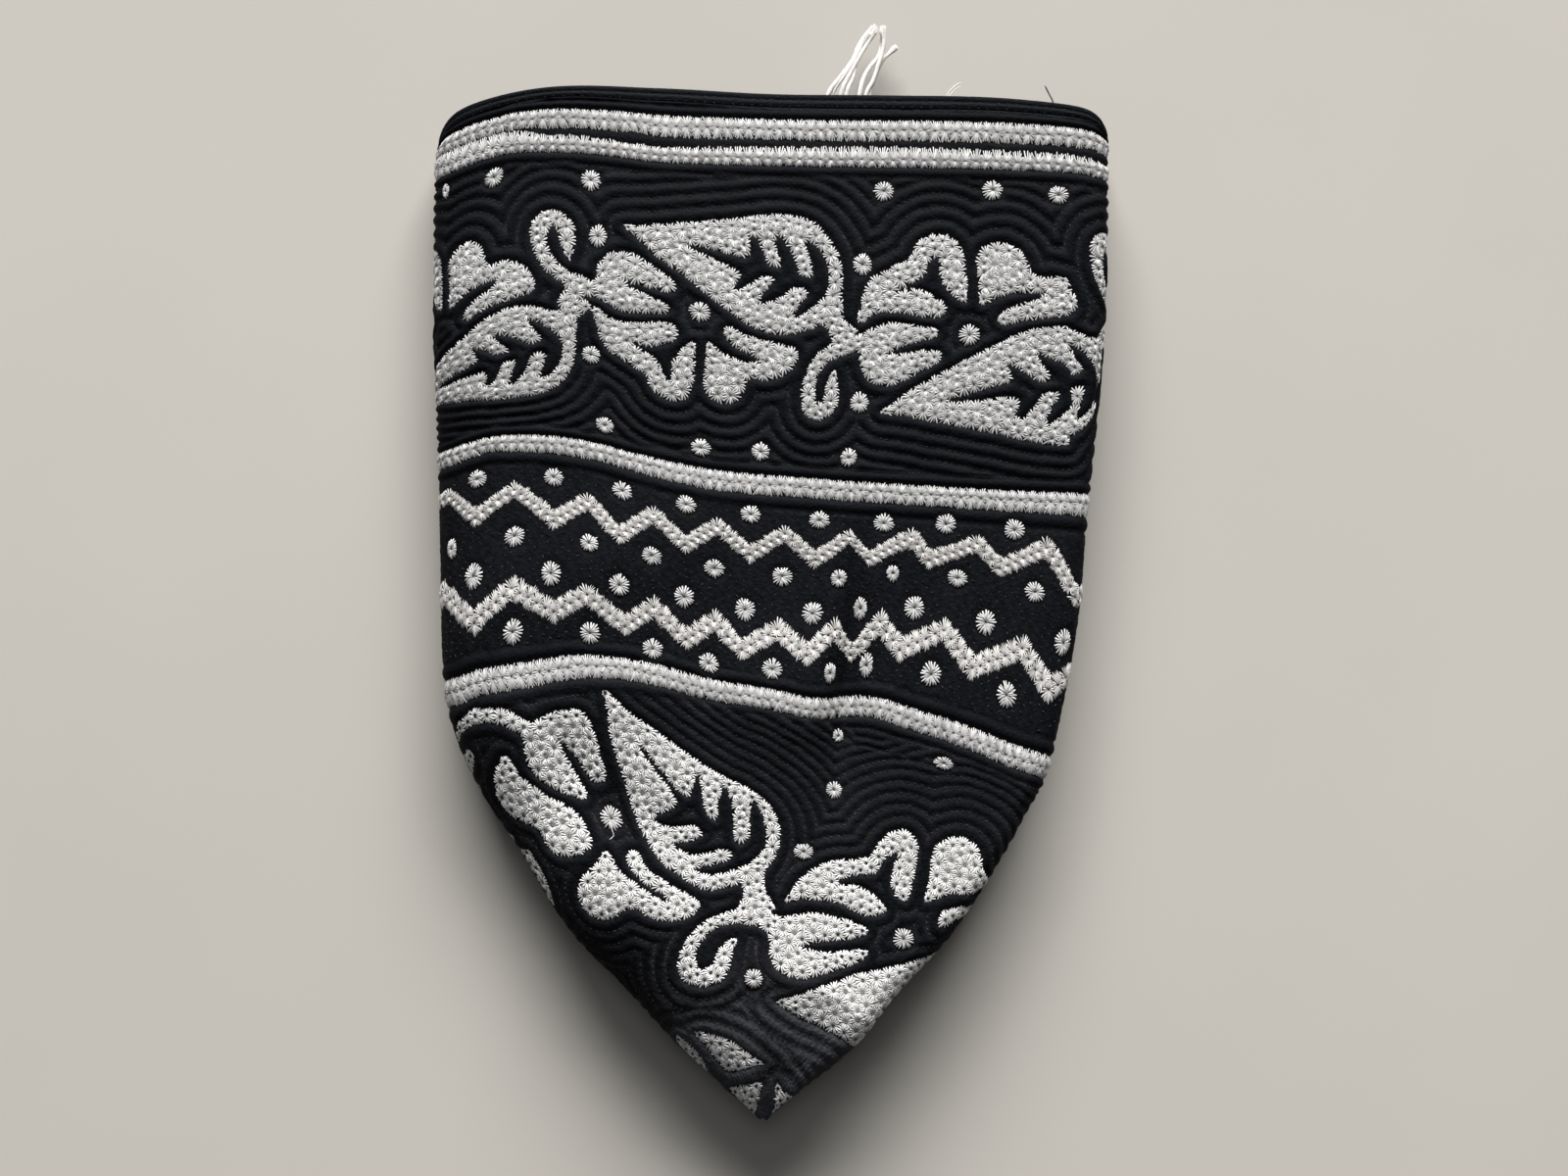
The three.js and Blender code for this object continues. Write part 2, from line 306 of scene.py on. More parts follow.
def from_photo(pixels):
    """The place on the shown panel under each pixel: the nearest of a grid, bettered in four rounds."""
    def seen_at(u, v):
        return to_photo(on_cloth(u, v, np.full(len(u), CHART_HEIGHT)))

    pixels = np.asarray(pixels, float)
    us, vs = (g.ravel() for g in np.meshgrid(np.linspace(-0.02, 1.01, 260), np.arange(0, TIP, 1.5)))
    seen = seen_at(us, vs)
    nearest = np.array([np.argmin(((seen - p) ** 2).sum(axis=1)) for p in pixels])
    u, v = us[nearest], vs[nearest]
    for _ in range(4):
        here = seen_at(u, v)
        du = (seen_at(u + SLOPE_U, v) - here) / SLOPE_U
        dv = (seen_at(u, v + SLOPE_V) - here) / SLOPE_V
        miss = pixels - here
        det = du[:, 0] * dv[:, 1] - du[:, 1] * dv[:, 0]
        det = np.where(np.abs(det) < 200, 200 * np.sign(det + 1e-9), det)
        move_u = np.clip((miss[:, 0] * dv[:, 1] - miss[:, 1] * dv[:, 0]) / det, -0.006, 0.006)
        move_v = np.clip((du[:, 0] * miss[:, 1] - du[:, 1] * miss[:, 0]) / det, -1.0, 1.0)
        u, v = np.clip(u + move_u, -0.02, 1.02), np.clip(v + move_v, 0, TIP)
    return np.column_stack([u, v])


def chart(text):
    """Pixel pairs of the photograph, written as x,y x,y."""
    return np.array([[float(n) for n in pair.split(",")] for pair in text.split()])


# Embroidery charts, in pixels of the photograph
STRIPE_1 = chart(
    "452,149 460,145 480,135.5 500,129 520,123.5 540,120.5 560,119.5 600,120 640,123 680,127.5 720,129 "
    "760,130 800,131 860,132 920,132 980,133 1040,135 1080,137 1100,139.5 1115,142 1125,147")
STRIPE_2 = chart(
    "452,170 460,166 480,157 500,151.5 520,148 560,147 600,148.5 640,153 680,158 720,159 760,160 800,161 "
    "860,162 920,162.5 980,163.5 1040,165.5 1080,167 1100,169 1115,171.5 1127,176")
STRIPE_3 = chart(
    "447,470 460,465 480,458 500,452 520,451 540,450.5 560,451.5 580,454 600,457.5 620,462 640,468 660,473 "
    "680,478 700,482.5 720,487 740,489.5 760,491.5 780,493 800,494 840,497 860,499 900,501 940,503.5 "
    "980,506 1020,508.5 1060,510.5 1090,511.5 1110,514")
STRIPE_4 = chart(
    "452,708 470,702 490,694 510,691 540,686.5 560,683 580,679 600,678 620,679.5 640,681 660,685 680,690 "
    "700,697 720,702.5 740,706.5 760,708.5 780,712 800,716.5 820,722 840,724 850,722 860,720 880,719 "
    "900,722 920,729 940,736.5 960,742 980,750 1000,757 1020,766 1040,774 1060,779 1068,783")
ZIGZAG_1 = chart(
    "459,506 485,528 525,499 565,531 600,511 632,546 667,524 699,556 732,536 765,565 801,544 832,571 "
    "867,547 886,570 930,547 948,571 997,554 1020,579 1068,558 1097,608")
ZIGZAG_2 = chart(
    "455,605 484,634 522,600 565,624 599,606 638,638 667,619 700,652 729,633 757,663 793,641 823,668 "
    "852,641 868,667 898,634 918,662 963,642 992,681 1043,661 1070,703 1087,690")

CURL_AND_PETALS = chart(
    "581,266 575,258 571,249 570,240 568,234 565,231 562,232 559,238 558,245 560,254 564,262 569,268 "
    "576,274 585,278 595,282 606,286 608,284 608,276 611,268 616,261 624,257 633,256 642,257 650,260 "
    "658,265 668,272 678,279 687,285 691,291 691,296 686,299 680,298 670,296 660,293 650,290 640,288 "
    "637,287 645,293 655,298 665,303 675,307 683,311 686,316 682,320 672,320 660,320 648,320 638,319 "
    "628,315 620,310 612,305 605,302 598,303 592,306 587,309 585,314 587,324 578,326 568,312 570,302 "
    "574,298 577,292 574,288 566,284 556,276 549,266 545,258 541,248 540,238 542,226 547,219 555,215 "
    "566,214 576,218 584,226 588,236 588,246 584,258")
LEAF = chart(
    "635,230 650,229.5 670,229 690,227 710,226 730,224 750,223 770,220 785,218.5 800,218.5 815,220 828,225 "
    "838,232 848,244 855,256 859,270 860,285 860,300 860,315 861,325 866,331 875,337 868,347 858,346 "
    "852,340 848,332 838,332 825,337 810,341 795,342 780,339 765,333 752,325 742,316 732,309 720,300 "
    "710,292 700,283 685,273 675,265 665,258 655,248 645,238")
LEAF_VEIN = chart(
    "703,250 718,254 735,258 750,262 762,265 767,262 767,252 766,242 772,245 776,253 780,264 783,272 "
    "790,274 798,275 798,268 795,258 793,248 793,240 799,246 805,255 809,265 812,275 815,281 823,283 "
    "830,284 830,275 828,262 824,251 825,247 833,252 840,262 844,275 845,288 841,300 832,310 822,318 "
    "811,323 815,314 822,306 827,298 820,292 811,291 803,296 796,302 785,306 775,308 780,300 787,292 "
    "794,284 784,281 775,281 768,287 760,291 751,294 755,287 759,279 750,273 738,267 725,261 712,255")
PETAL_AND_LOOP = chart(
    "606,313 612,315 618,321 628,326 640,328 655,329 670,328 682,329 690,333 693,340 689,347 680,351 "
    "668,354 658,354 650,350 644,347 650,354 660,359 668,364 673,370 675,378 679,385 684,389 685,380 "
    "685,370 689,362 695,355 702,350 709,349 710,360 709,375 708,390 705,400 700,407 692,410 680,408 "
    "670,402 662,393 659,382 650,377 640,370 630,364 620,357 613,348 610,338 608,328 605,321")
HEART_AND_ARM = chart(
    "722,349 730,354 740,361 752,366 764,369 776,370 768,363 757,358 748,353 741,346 737,338 742,332 "
    "750,335 760,341 772,345 785,348 800,351 812,354 816,361 813,371 805,380 792,387 780,389 770,386 "
    "762,388 761,396 757,405 749,411 741,413 731,410 723,405 718,397 717,387 719,373 720,360")
FLOWER_CENTRE = chart("714,318")

# Places of the first flower and the same places of the second, turned over, one.
TURNED_OVER = chart(
    "566,214 836,431 582,262 853,377 605,317 880,328 692,410 960,238 741,413 1030,247 721,349 "
    "1003,311 738,335 1016,328 635,230 898,424 790,218 1060,452 714,318 985,343 540,238 814,405 "
    "588,240 857,400").reshape(-1, 4)

CROWN_CURL = chart(
    "466,738 472,730 480,724 490,721 500,721 512,722 522,726 532,732 540,736 548,734 558,728 568,725 "
    "580,724 590,723 597,727 602,735 606,745 610,757 613,770 617,782 620,790 618,797 610,800 602,797 "
    "596,788 590,778 583,768 577,761 572,757 575,765 580,775 586,785 592,795 598,805 600,813 594,817 "
    "585,813 575,810 565,806 555,800 545,792 538,783 536,772 533,762 532,752 528,748 520,745 512,740 "
    "502,738 490,739 480,741 474,745 470,750 467,757")
CROWN_PETAL = chart(
    "516,770 522,776 526,784 532,792 540,798 548,804 556,810 566,815 576,820 586,826 594,834 598,842 "
    "602,850 605,858 604,865 598,870 590,873 580,876 570,874 562,870 556,862 552,853 548,847 540,842 "
    "530,838 520,833 513,826 508,818 505,808 503,798 503,790 507,780 511,773")
CROWN_HEART = chart(
    "618,867 624,873 629,883 634,890 642,896 652,903 663,911 675,918 682,921 676,914 666,908 656,901 "
    "648,894 642,886 637,876 640,868 648,867 654,872 657,880 662,888 670,893 680,899 690,905 700,910 "
    "710,916 715,922 713,930 707,935 697,939 685,941 673,940 663,937 655,933 648,928 640,928 633,934 "
    "625,938 616,940 607,938 598,932 592,924 589,915 588,907 592,897 598,890 606,883 611,875")
CROWN_LEAF = chart(
    "614,701 622,708 630,714 638,722 648,730 660,738 670,745 680,752 690,760 700,767 712,775 722,782 "
    "735,789 745,795 755,798 765,804 775,811 783,818 790,827 795,838 797,850 796,862 793,872 787,882 "
    "781,890 780,900 781,910 787,918 792,927 775,934 752,927 757,920 758,912 757,903 752,903 740,907 "
    "728,910 715,908 702,901 690,893 678,884 668,873 660,860 652,845 646,830 641,815 637,800 632,785 "
    "627,770 623,755 620,740 619,725 616,712")
CROWN_VEIN = chart(
    "655,765 662,775 670,785 678,795 685,803 693,810 700,815 704,815 708,808 710,800 711,790 714,800 "
    "715,812 716,822 720,832 727,838 731,840 734,832 734,820 736,812 739,803 743,812 746,822 747,835 "
    "746,848 747,858 753,864 760,862 766,855 767,840 767,828 768,816 775,828 779,840 781,852 779,864 "
    "772,874 762,880 750,885 740,889 728,891 718,890 709,887 720,886 732,883 743,880 751,873 745,866 "
    "735,865 725,868 715,870 705,870 697,867 688,862 697,862 707,859 716,855 721,851 712,842 703,840 "
    "693,842 683,842 675,840 668,835 678,830 688,827 693,822 690,812 683,802 676,792 669,783 662,774")
INNER_CURL = chart(
    "757,915 755,925 745,929 735,932 722,938 712,945 704,953 697,963 692,974 690,985 692,995 697,1002 "
    "706,1006 716,1008 727,1006 736,1002 742,995 746,985 748,975 750,965 752,957 746,958 740,962 733,968 "
    "729,975 727,982 722,987 714,989 711,985 710,978 711,970 716,961 723,953 732,947 743,944 755,943 "
    "768,945 778,948 784,953 785,962 784,972 786,980 791,988 798,994 808,999 818,1000 830,998 843,994 "
    "856,990 868,986 878,981 884,976 886,971 880,969 870,969 858,970 845,971 833,970 825,968 818,966 "
    "828,963 840,962 852,960 865,959 875,957 883,955 886,949 880,944 870,940 858,937 845,932 833,930 "
    "820,931 808,933 798,935 790,933 785,928 782,918 780,905")
INNER_PETAL = chart(
    "801,920 806,912 810,903 816,895 825,888 835,882 847,878 858,876 870,877 880,875 888,875 892,866 "
    "898,857 905,850 914,846 923,845 931,849 936,857 938,867 937,880 934,893 931,905 928,915 925,920 "
    "917,917 911,911 908,902 909,891 913,880 918,870 909,873 901,879 897,887 893,893 883,893 872,893 "
    "862,897 853,901 865,902 876,903 886,908 895,915 901,922 905,928 903,933 895,935 885,935 875,932 "
    "865,927 855,922 843,920 832,919 822,918 812,919 803,921")
INNER_HEART = chart(
    "943,921 945,910 948,898 949,885 950,872 955,862 963,856 973,853 983,853 993,858 1000,866 1003,877 "
    "1003,888 1005,897 1000,908 995,913 985,914 975,912 965,914 955,918")
INNER_ARM = chart("957,945 958,935 963,929 972,926 982,924 990,923 985,930 978,938 970,944 962,948")
INNER_LEAF = chart(
    "791,1022 800,1019 812,1016 825,1011 838,1006 852,1001 865,997 870,994 885,991 900,988 915,985 930,981 "
    "942,977 955,970 920,1020 873,1066 868,1068 863,1063 855,1058 845,1053 835,1048 825,1044 815,1039 "
    "806,1033 798,1028")
TIP_PETALS = [
    chart(
    "708,1054 718,1053 730,1056 742,1060 752,1065 760,1072 770,1080 780,1086 770,1088 760,1091 750,1094 "
    "743,1095 735,1088 727,1078 720,1068 713,1060"),
    chart(
    "745,1110 755,1108 765,1107 777,1104 778,1110 775,1120 773,1130 768,1138 760,1135 752,1128 747,1118"),
    chart("793,1105 797,1112 803,1116 810,1120 803,1125 795,1130 789,1134 790,1125 791,1115"),
]
EDGE_PETALS = [
    chart(
    "517,851 524,853 532,859 540,868 548,881 556,896 562,910 566,926 560,930 552,917 543,900 534,884 "
    "525,868"),
    chart("476,764 482,768 484,780 481,790 476,784 473,773"),
    chart("690,1056 699,1062 708,1070 718,1082 728,1096 735,1108 727,1106 716,1094 704,1080 693,1067"),
]
CROWN_CENTRES = chart("624,835 922,958")

# Dots: x, y, half width and half height in pixels
WALL_DOTS = np.array([
    [455, 195, 4, 9], [504, 181, 10, 10], [603, 184, 10, 10], [902, 195, 10, 10], [1013, 194, 10, 10],
    [1080, 199, 10, 9], [610, 241, 9, 10], [603, 362, 9, 10], [880, 270, 9, 10], [877, 411, 9, 10],
    [617, 434, 9, 10], [715, 457, 10, 10], [776, 461, 9, 10], [866, 467, 8, 10],
])
BAND_DOTS = np.array([
    [487, 489, 10, 10], [565, 487, 10, 10], [635, 501, 10, 10], [700, 515, 10, 10], [766, 525, 10, 10],
    [836, 531, 10, 10], [902, 534, 10, 10], [965, 535, 10, 10], [1035, 541, 10, 10], [461, 560, 6, 10],
    [525, 547, 10, 10], [601, 554, 9, 9], [665, 567, 10, 10], [729, 580, 10, 10], [798, 588, 10, 10],
    [856, 590, 8, 10], [911, 585, 6, 10], [977, 590, 10, 10], [1056, 604, 10, 10], [483, 588, 10, 10],
    [562, 585, 10, 10], [632, 597, 10, 10], [698, 609, 10, 10], [760, 622, 10, 10], [829, 626, 10, 10],
    [878, 621, 7, 10], [933, 620, 10, 10], [1006, 635, 10, 10], [1085, 656, 9, 10], [455, 662, 6, 10],
    [523, 645, 10, 10], [602, 646, 10, 10], [666, 662, 10, 10], [723, 677, 10, 10], [788, 683, 10, 10],
    [847, 687, 6.5, 9.5], [884, 679, 6.5, 10.5], [950, 688, 10, 10], [1027, 709, 10, 10],
])
CROWN_DOTS = np.array([
    [855, 751, 5.5, 10], [851, 806, 8, 11], [963, 779, 10, 9], [820, 869, 10, 9], [769, 999, 9, 10],
])


def wrapped_line(pixels):
    """A line that is charted on the shown panel, led on round the cap: its v for any u."""
    places = from_photo(pixels)
    u, v = places[:, 0], places[:, 1]
    order = np.argsort(u)
    u, v = u[order], v[order]
    mean = v.mean()
    knots_u = np.concatenate([u, [1.2, 1.4, 3.6, 3.8], u[:3] + 4])
    knots_v = np.concatenate([v, [mean, mean, mean, mean], v[:3]])
    grid = np.arange(0, 4, 0.004)
    values = np.interp(grid, knots_u, knots_v, period=4)
    window = np.hanning(9)
    smooth = np.convolve(np.concatenate([values[-8:], values, values[:8]]), window / window.sum(), "same")[8:-8]
    return lambda at: np.interp(np.asarray(at) % 4, grid, smooth, period=4)


STRIPES = [wrapped_line(line) for line in (STRIPE_1, STRIPE_2, STRIPE_3, STRIPE_4)]
STRIPE_HALF = 1.95
# The vines repeat after these shares of a panel.
HALF_PERIOD = 0.373
RIGHT_LEAD = 0.785
CROWN_PERIOD = 1.25
BAND_PERIOD = 0.0915
LEAF_SUM = 2 * TIP - 121  # of the distances from the rim of the crown's leaf and its turned-over twin
WALL_SUM = float(sum(STRIPES[k](np.linspace(0, 1, 50)).mean() for k in (1, 2)))
WALL_PANEL = float(PANEL_LENGTH[: int(WALL_HEIGHT / V_STEP)].mean())
CROWN_ROWS = np.arange(int(WALL_HEIGHT / V_STEP), int(RINGS[-3, 0] / V_STEP))
CROWN_ANGLE = float((PANEL_LENGTH[CROWN_ROWS] / (TIP - CROWN_ROWS * V_STEP)).mean())


def wall_flat(places):
    return np.column_stack([places[..., 0] * WALL_PANEL, places[..., 1]])


def crown_flat(places):
    angle = CROWN_ANGLE * (places[..., 0] - 0.5)
    radius = TIP - places[..., 1]
    return np.column_stack([radius * np.sin(angle), -radius * np.cos(angle)])


def second_flower(pixels):
    """The turned-over flower's places for places of the first one, by a fit through charted pairs."""
    def terms(p):
        x, y = (p[:, 0] - 700) / 100, (p[:, 1] - 310) / 100
        return np.column_stack([np.ones(len(p)), x, y, x * y, x * x, y * y])

    fit = np.linalg.lstsq(terms(TURNED_OVER[:, :2]), TURNED_OVER[:, 2:], rcond=None)[0]
    return terms(pixels) @ fit


FAR = 40.0  # stands for any distance out of reach


def loop_distance(points, loop):
    """Signed distance to one closed loop, positive inside."""
    result = np.empty(len(points))
    a, b = loop, np.roll(loop, -1, axis=0)
    side = b - a
    square = np.maximum((side**2).sum(axis=1), 1e-9)
    for first in range(0, len(points), CHUNK):
        p = points[first:first + CHUNK, None, :]
        t = np.clip(((p - a) * side).sum(axis=2) / square, 0, 1)
        gap = p - (a + t[..., None] * side)
        nearest = np.sqrt((gap**2).sum(axis=2).min(axis=1))
        above = (a[:, 1] > p[..., 1]) != (b[:, 1] > p[..., 1])
        rise = np.where(np.abs(side[:, 1]) < 1e-9, 1e-9, side[:, 1])
        cross_x = a[:, 0] + (p[..., 1] - a[:, 1]) * side[:, 0] / rise
        inside = (above & (p[..., 0] < cross_x)).sum(axis=1) % 2 == 1
        result[first:first + CHUNK] = np.where(inside, nearest, -nearest)
    return result


SHARP = 1.25  # a corner that turns by more radians than this stays pointed
TIP_CUT, CORNER_CUT = 0.05, 0.22  # shares of a side that rounding takes off at tips and at other corners
TIP_REACH = 1.25  # from a tip to the middle of its star
HOLE_GROW = 0.22  # holes are cut this much wider than they are charted
CHUNK = 20000  # points at a time


def corner_turns(flat_loop):
    """How far an outline turns at each corner, in radians, positive where it bulges."""
    ahead = np.roll(flat_loop, -1, axis=0) - flat_loop
    behind = flat_loop - np.roll(flat_loop, 1, axis=0)
    turn = np.arctan2(behind[:, 0] * ahead[:, 1] - behind[:, 1] * ahead[:, 0], (behind * ahead).sum(axis=1))
    return turn * np.sign(turn.sum())


def round_corners(loop, turns):
    """Cuts each corner of a loop, so that its outline runs smoothly, but leaves its tips."""
    cut = np.where(turns > SHARP, TIP_CUT, CORNER_CUT)[:, None]
    before, after = np.roll(loop, 1, axis=0), np.roll(loop, -1, axis=0)
    return np.stack([loop + cut * (before - loop), loop + cut * (after - loop)], axis=1).reshape(-1, 2)


class Motifs:
    """Closed outlines in flat millimetres, with holes, that repeat round the cap."""

    def __init__(self, flat, reach):
        self.flat, self.reach = flat, reach
        self.solid, self.holes, self.tips = [], [], []

    def add(self, places, hole=False):
        flat_loop = self.flat(places)
        turns = corner_turns(flat_loop)
        (self.holes if hole else self.solid).append(round_corners(places, turns))
        if hole:
            return
        inward = (np.roll(places, 1, axis=0) + np.roll(places, -1, axis=0)) / 2 - places
        length = np.linalg.norm(self.flat(places + inward) - flat_loop, axis=1)
        stars = places + inward * (TIP_REACH / np.maximum(length, 0.2))[:, None]
        self.tips.append(stars[turns > SHARP])

    def distance(self, u, v):
        """Signed distance to the nearest outline, positive inside."""
        shape = np.shape(u)
        u, v = np.ravel(u) % 4, np.ravel(v)
        best = np.full(len(u), -FAR)
        margin = self.reach / np.maximum(sample(REACH, u, v), 6.0)
        for loops, hole in ((self.solid, False), (self.holes, True)):
            for loop in loops:
                low_u, high_u = loop[:, 0].min(), loop[:, 0].max()
                low_v, high_v = loop[:, 1].min() - self.reach, loop[:, 1].max() + self.reach
                for turn in (-4, 0):
                    at = u + turn
                    near = (at > low_u - margin) & (at < high_u + margin) & (v > low_v) & (v < high_v)
                    if not near.any():
                        continue
                    points = self.flat(np.column_stack([at[near], v[near]]))
                    found = loop_distance(points, self.flat(loop))
                    if hole:
                        best[near] = np.minimum(best[near], -found - HOLE_GROW)
                    else:
                        best[near] = np.maximum(best[near], found)
        return best.reshape(shape)


MOTIF_REACH = 17.0  # distances are exact up to this far outside an outline


def wall_motifs():
    motifs = Motifs(wall_flat, MOTIF_REACH)
    for chart_loop in (CURL_AND_PETALS, LEAF, PETAL_AND_LOOP, HEART_AND_ARM, LEAF_VEIN):
        hole = chart_loop is LEAF_VEIN
        first = from_photo(chart_loop)
        second_pixels = second_flower(chart_loop)
        turned = np.column_stack([first[:, 0] + HALF_PERIOD, WALL_SUM - first[:, 1]])
        inside = second_pixels[:, 0] < 1095
        shift = from_photo(second_pixels) - turned
        shift[~inside] = shift[inside].mean(axis=0)
        seen = turned + shift
        for lead_u in (-4 * HALF_PERIOD, -2 * HALF_PERIOD, 0, RIGHT_LEAD):
            lead = np.array([lead_u, 0])
            motifs.add(first + lead, hole)
            if lead_u <= 0:
                motifs.add((seen if lead_u == 0 else turned) + lead, hole)
    return motifs


def crown_motifs():
    motifs = Motifs(crown_flat, MOTIF_REACH)
    loops = [CROWN_CURL, CROWN_PETAL, CROWN_HEART, CROWN_LEAF, INNER_CURL, INNER_PETAL, INNER_HEART, INNER_ARM,
             CROWN_VEIN, *TIP_PETALS, *EDGE_PETALS]
    leaf = from_photo(CROWN_LEAF)
    turned_leaf = np.column_stack([leaf[:, 0] + CROWN_PERIOD / 2, LEAF_SUM - leaf[:, 1]])
    for turn in (-1, 0):
        lead = np.array([CROWN_PERIOD * turn, 0])
        for chart_loop in loops:
            motifs.add(from_photo(chart_loop) + lead, chart_loop is CROWN_VEIN)
        motifs.add((from_photo(INNER_LEAF) if turn == 0 else turned_leaf) + lead)
    return motifs


WALL_MOTIFS = wall_motifs()
CROWN_MOTIFS = crown_motifs()


HIDDEN_PERIOD = 0.092  # of the zigzags where they don't show, in panels
ZIGZAG_SWING = 2.7  # and their corners' distance from the middle


def zigzag_line(pixels, phase):
    """Corner places of a zigzag all round the cap."""
    shown = from_photo(pixels)
    middle = shown[:, 1].mean()
    count = 2 * int((3 + shown[0, 0]) / HIDDEN_PERIOD) + phase
    hidden_u = np.linspace(shown[-1, 0], 4 + shown[0, 0], count + 2)[1:-1]
    first_swing = -ZIGZAG_SWING if shown[-1, 1] > middle else ZIGZAG_SWING
    swing = np.where(np.arange(count) % 2 == 0, first_swing, -first_swing)
    hidden = np.column_stack([hidden_u, middle - swing])
    return np.vstack([shown, hidden, shown[:1] + [4, 0]])


ZIGZAGS = [zigzag_line(ZIGZAG_1, 0), zigzag_line(ZIGZAG_2, 1)]
ZIGZAG_HALF = 2.0
PINCH_U = float(from_photo(chart("868,650"))[0, 0])
PINCH_SHARE, PINCH_REACH = 0.42, 0.022  # how much narrower a zigzag is in the pinch, and over how many panels


def zigzag_course(corners):
    """A zigzag's v for any u, and the cosine of its slope there."""
    u = np.concatenate([corners[:-1, 0] - 4, corners[:, 0]])
    v = np.concatenate([corners[:-1, 1], corners[:, 1]])
    slope = np.abs(np.diff(v)) / np.maximum(np.diff(u) * WALL_PANEL, 1.0)
    middle = (u[1:] + u[:-1]) / 2
    return (lambda at: np.interp(np.asarray(at) % 4, u, v),
            lambda at: 1 / np.sqrt(1 + np.interp(np.asarray(at) % 4, middle, slope) ** 2))


ZIGZAG_COURSES = [zigzag_course(corners) for corners in ZIGZAGS]


def stripe_distance(u, v, line):
    """Signed distance to a stripe, positive inside."""
    slope = (line(u + 0.004) - line(u - 0.004)) / (0.008 * WALL_PANEL)
    return STRIPE_HALF - np.abs(v - line(u)) / np.sqrt(1 + slope**2)


def stripes_distance(u, v):
    return np.max([stripe_distance(u, v, line) for line in STRIPES], axis=0)


def zigzag_half(u):
    """Half the width of the zigzags, narrower where the cloth is pinched together."""
    return ZIGZAG_HALF * (1 - PINCH_SHARE * np.exp(-(((np.asarray(u) % 4 - PINCH_U) / PINCH_REACH) ** 2)))


def zigzag_distance(u, v, course, cosine):
    return zigzag_half(u) - np.abs(v - course(u)) * cosine(u)


def zigzags_distance(u, v):
    return np.max([zigzag_distance(u, v, *way) for way in ZIGZAG_COURSES], axis=0)


RIB_PITCH = 2.7
RIB_HEIGHT = 0.66
CROWN_RIB = 0.62  # the crown's ribs are this much flatter
WORN_AND_SHEEN_TIP = 1.7  # tone near the crown's centre: wear, with painted sheen where the cloth turns from the light
RIB_START = 0.2  # the first groove runs this far inside a field's outline
CORD_WIDTH = 3.0  # of the thicker cord beside each stripe
CORD_PAST_SEAM = 4  # that cord also runs along the stripe on the crown, down to here
WORN_AND_SHEEN_FROM, WORN_AND_SHEEN_OVER = 185, 20  # the crown's cloth is lighter from here on: wear, with painted sheen
BAND_HEIGHT, BAND_TONE = 0.34, 0.3  # the stippled band lies flat between its cords
DOT_FLAT, DOT_TONE = 0.12, 0.3  # height and tone of the cloth under a dot


def rib(distance, pitch):
    """A row of round cords with narrow grooves between them: height, and how near a groove is."""
    phase = (distance / pitch) % 1.0
    groove = np.minimum(phase, 1 - phase) * pitch
    return RIB_HEIGHT * np.sin(np.pi * phase) ** 1.15, np.exp(-((groove / 0.5) ** 2))


CENTRE_DOT = 2.15  # half the size of a flower's centre


def dot_places():
    """Centres and half sizes of all dots, on the shown side and underneath."""
    round_dot = np.array([[CENTRE_DOT, CENTRE_DOT]])
    wall_period = 2 * HALF_PERIOD
    sets = [
        (from_photo(WALL_DOTS[:, :2]), WALL_DOTS[:, 2:] / CHART_SCALE, wall_period),
        (from_photo(FLOWER_CENTRE), round_dot, wall_period),
        (from_photo(second_flower(FLOWER_CENTRE)), round_dot, wall_period),
        (from_photo(BAND_DOTS[:, :2]), BAND_DOTS[:, 2:] / CHART_SCALE, 10 * BAND_PERIOD),
        (from_photo(CROWN_DOTS[:, :2]), CROWN_DOTS[:, 2:] / CHART_SCALE, CROWN_PERIOD),
        (from_photo(CROWN_CENTRES), np.repeat(round_dot, 2, axis=0), CROWN_PERIOD),
    ]
    places, sizes = [s[0] for s in sets], [s[1] for s in sets]
    for turn in (1, 2):
        for shown, size, period in sets:
            moved = shown - [period * turn, 0]
            keep = (moved[:, 0] > -0.97) & (moved[:, 0] < -0.04)
            places.append(moved[keep] + [4, 0])
            sizes.append(np.maximum(size[keep], 2.0))
    places, sizes = np.concatenate(places), np.concatenate(sizes)
    return places[:, 0], places[:, 1], sizes


DOTS = dot_places()


def dot_share(u, v):
    """1 under a dot, 0 away from it."""
    share = np.zeros(np.shape(u))
    for at_u, at_v, (half_u, half_v) in zip(*DOTS):
        right = ((u - at_u + 2) % 4 - 2) * sample(REACH, at_u, at_v)
        near = (np.abs(right) < 5) & (np.abs(v - at_v) < 5)
        gap = np.hypot(right[near] / (half_u + 0.4), (v[near] - at_v) / (half_v + 0.4))
        share[near] = np.maximum(share[near], np.clip((1.25 - gap) / 0.3, 0, 1))
    return share


def ground_fields(u, v):
    """Distance outside the stripes and outside the vines, and where the stippled band is."""
    stripe = -stripes_distance(u, v)
    vine = np.full(np.shape(u), FAR)
    wall = (v > BINDING_HEIGHT) & (v < STRIPES[2](u))
    crown = v > STRIPES[3](u)
    vine[wall] = -WALL_MOTIFS.distance(u[wall], v[wall])
    vine[crown] = -CROWN_MOTIFS.distance(u[crown], v[crown])
    return stripe, vine, (v > STRIPES[2](u)) & (v < STRIPES[3](u))


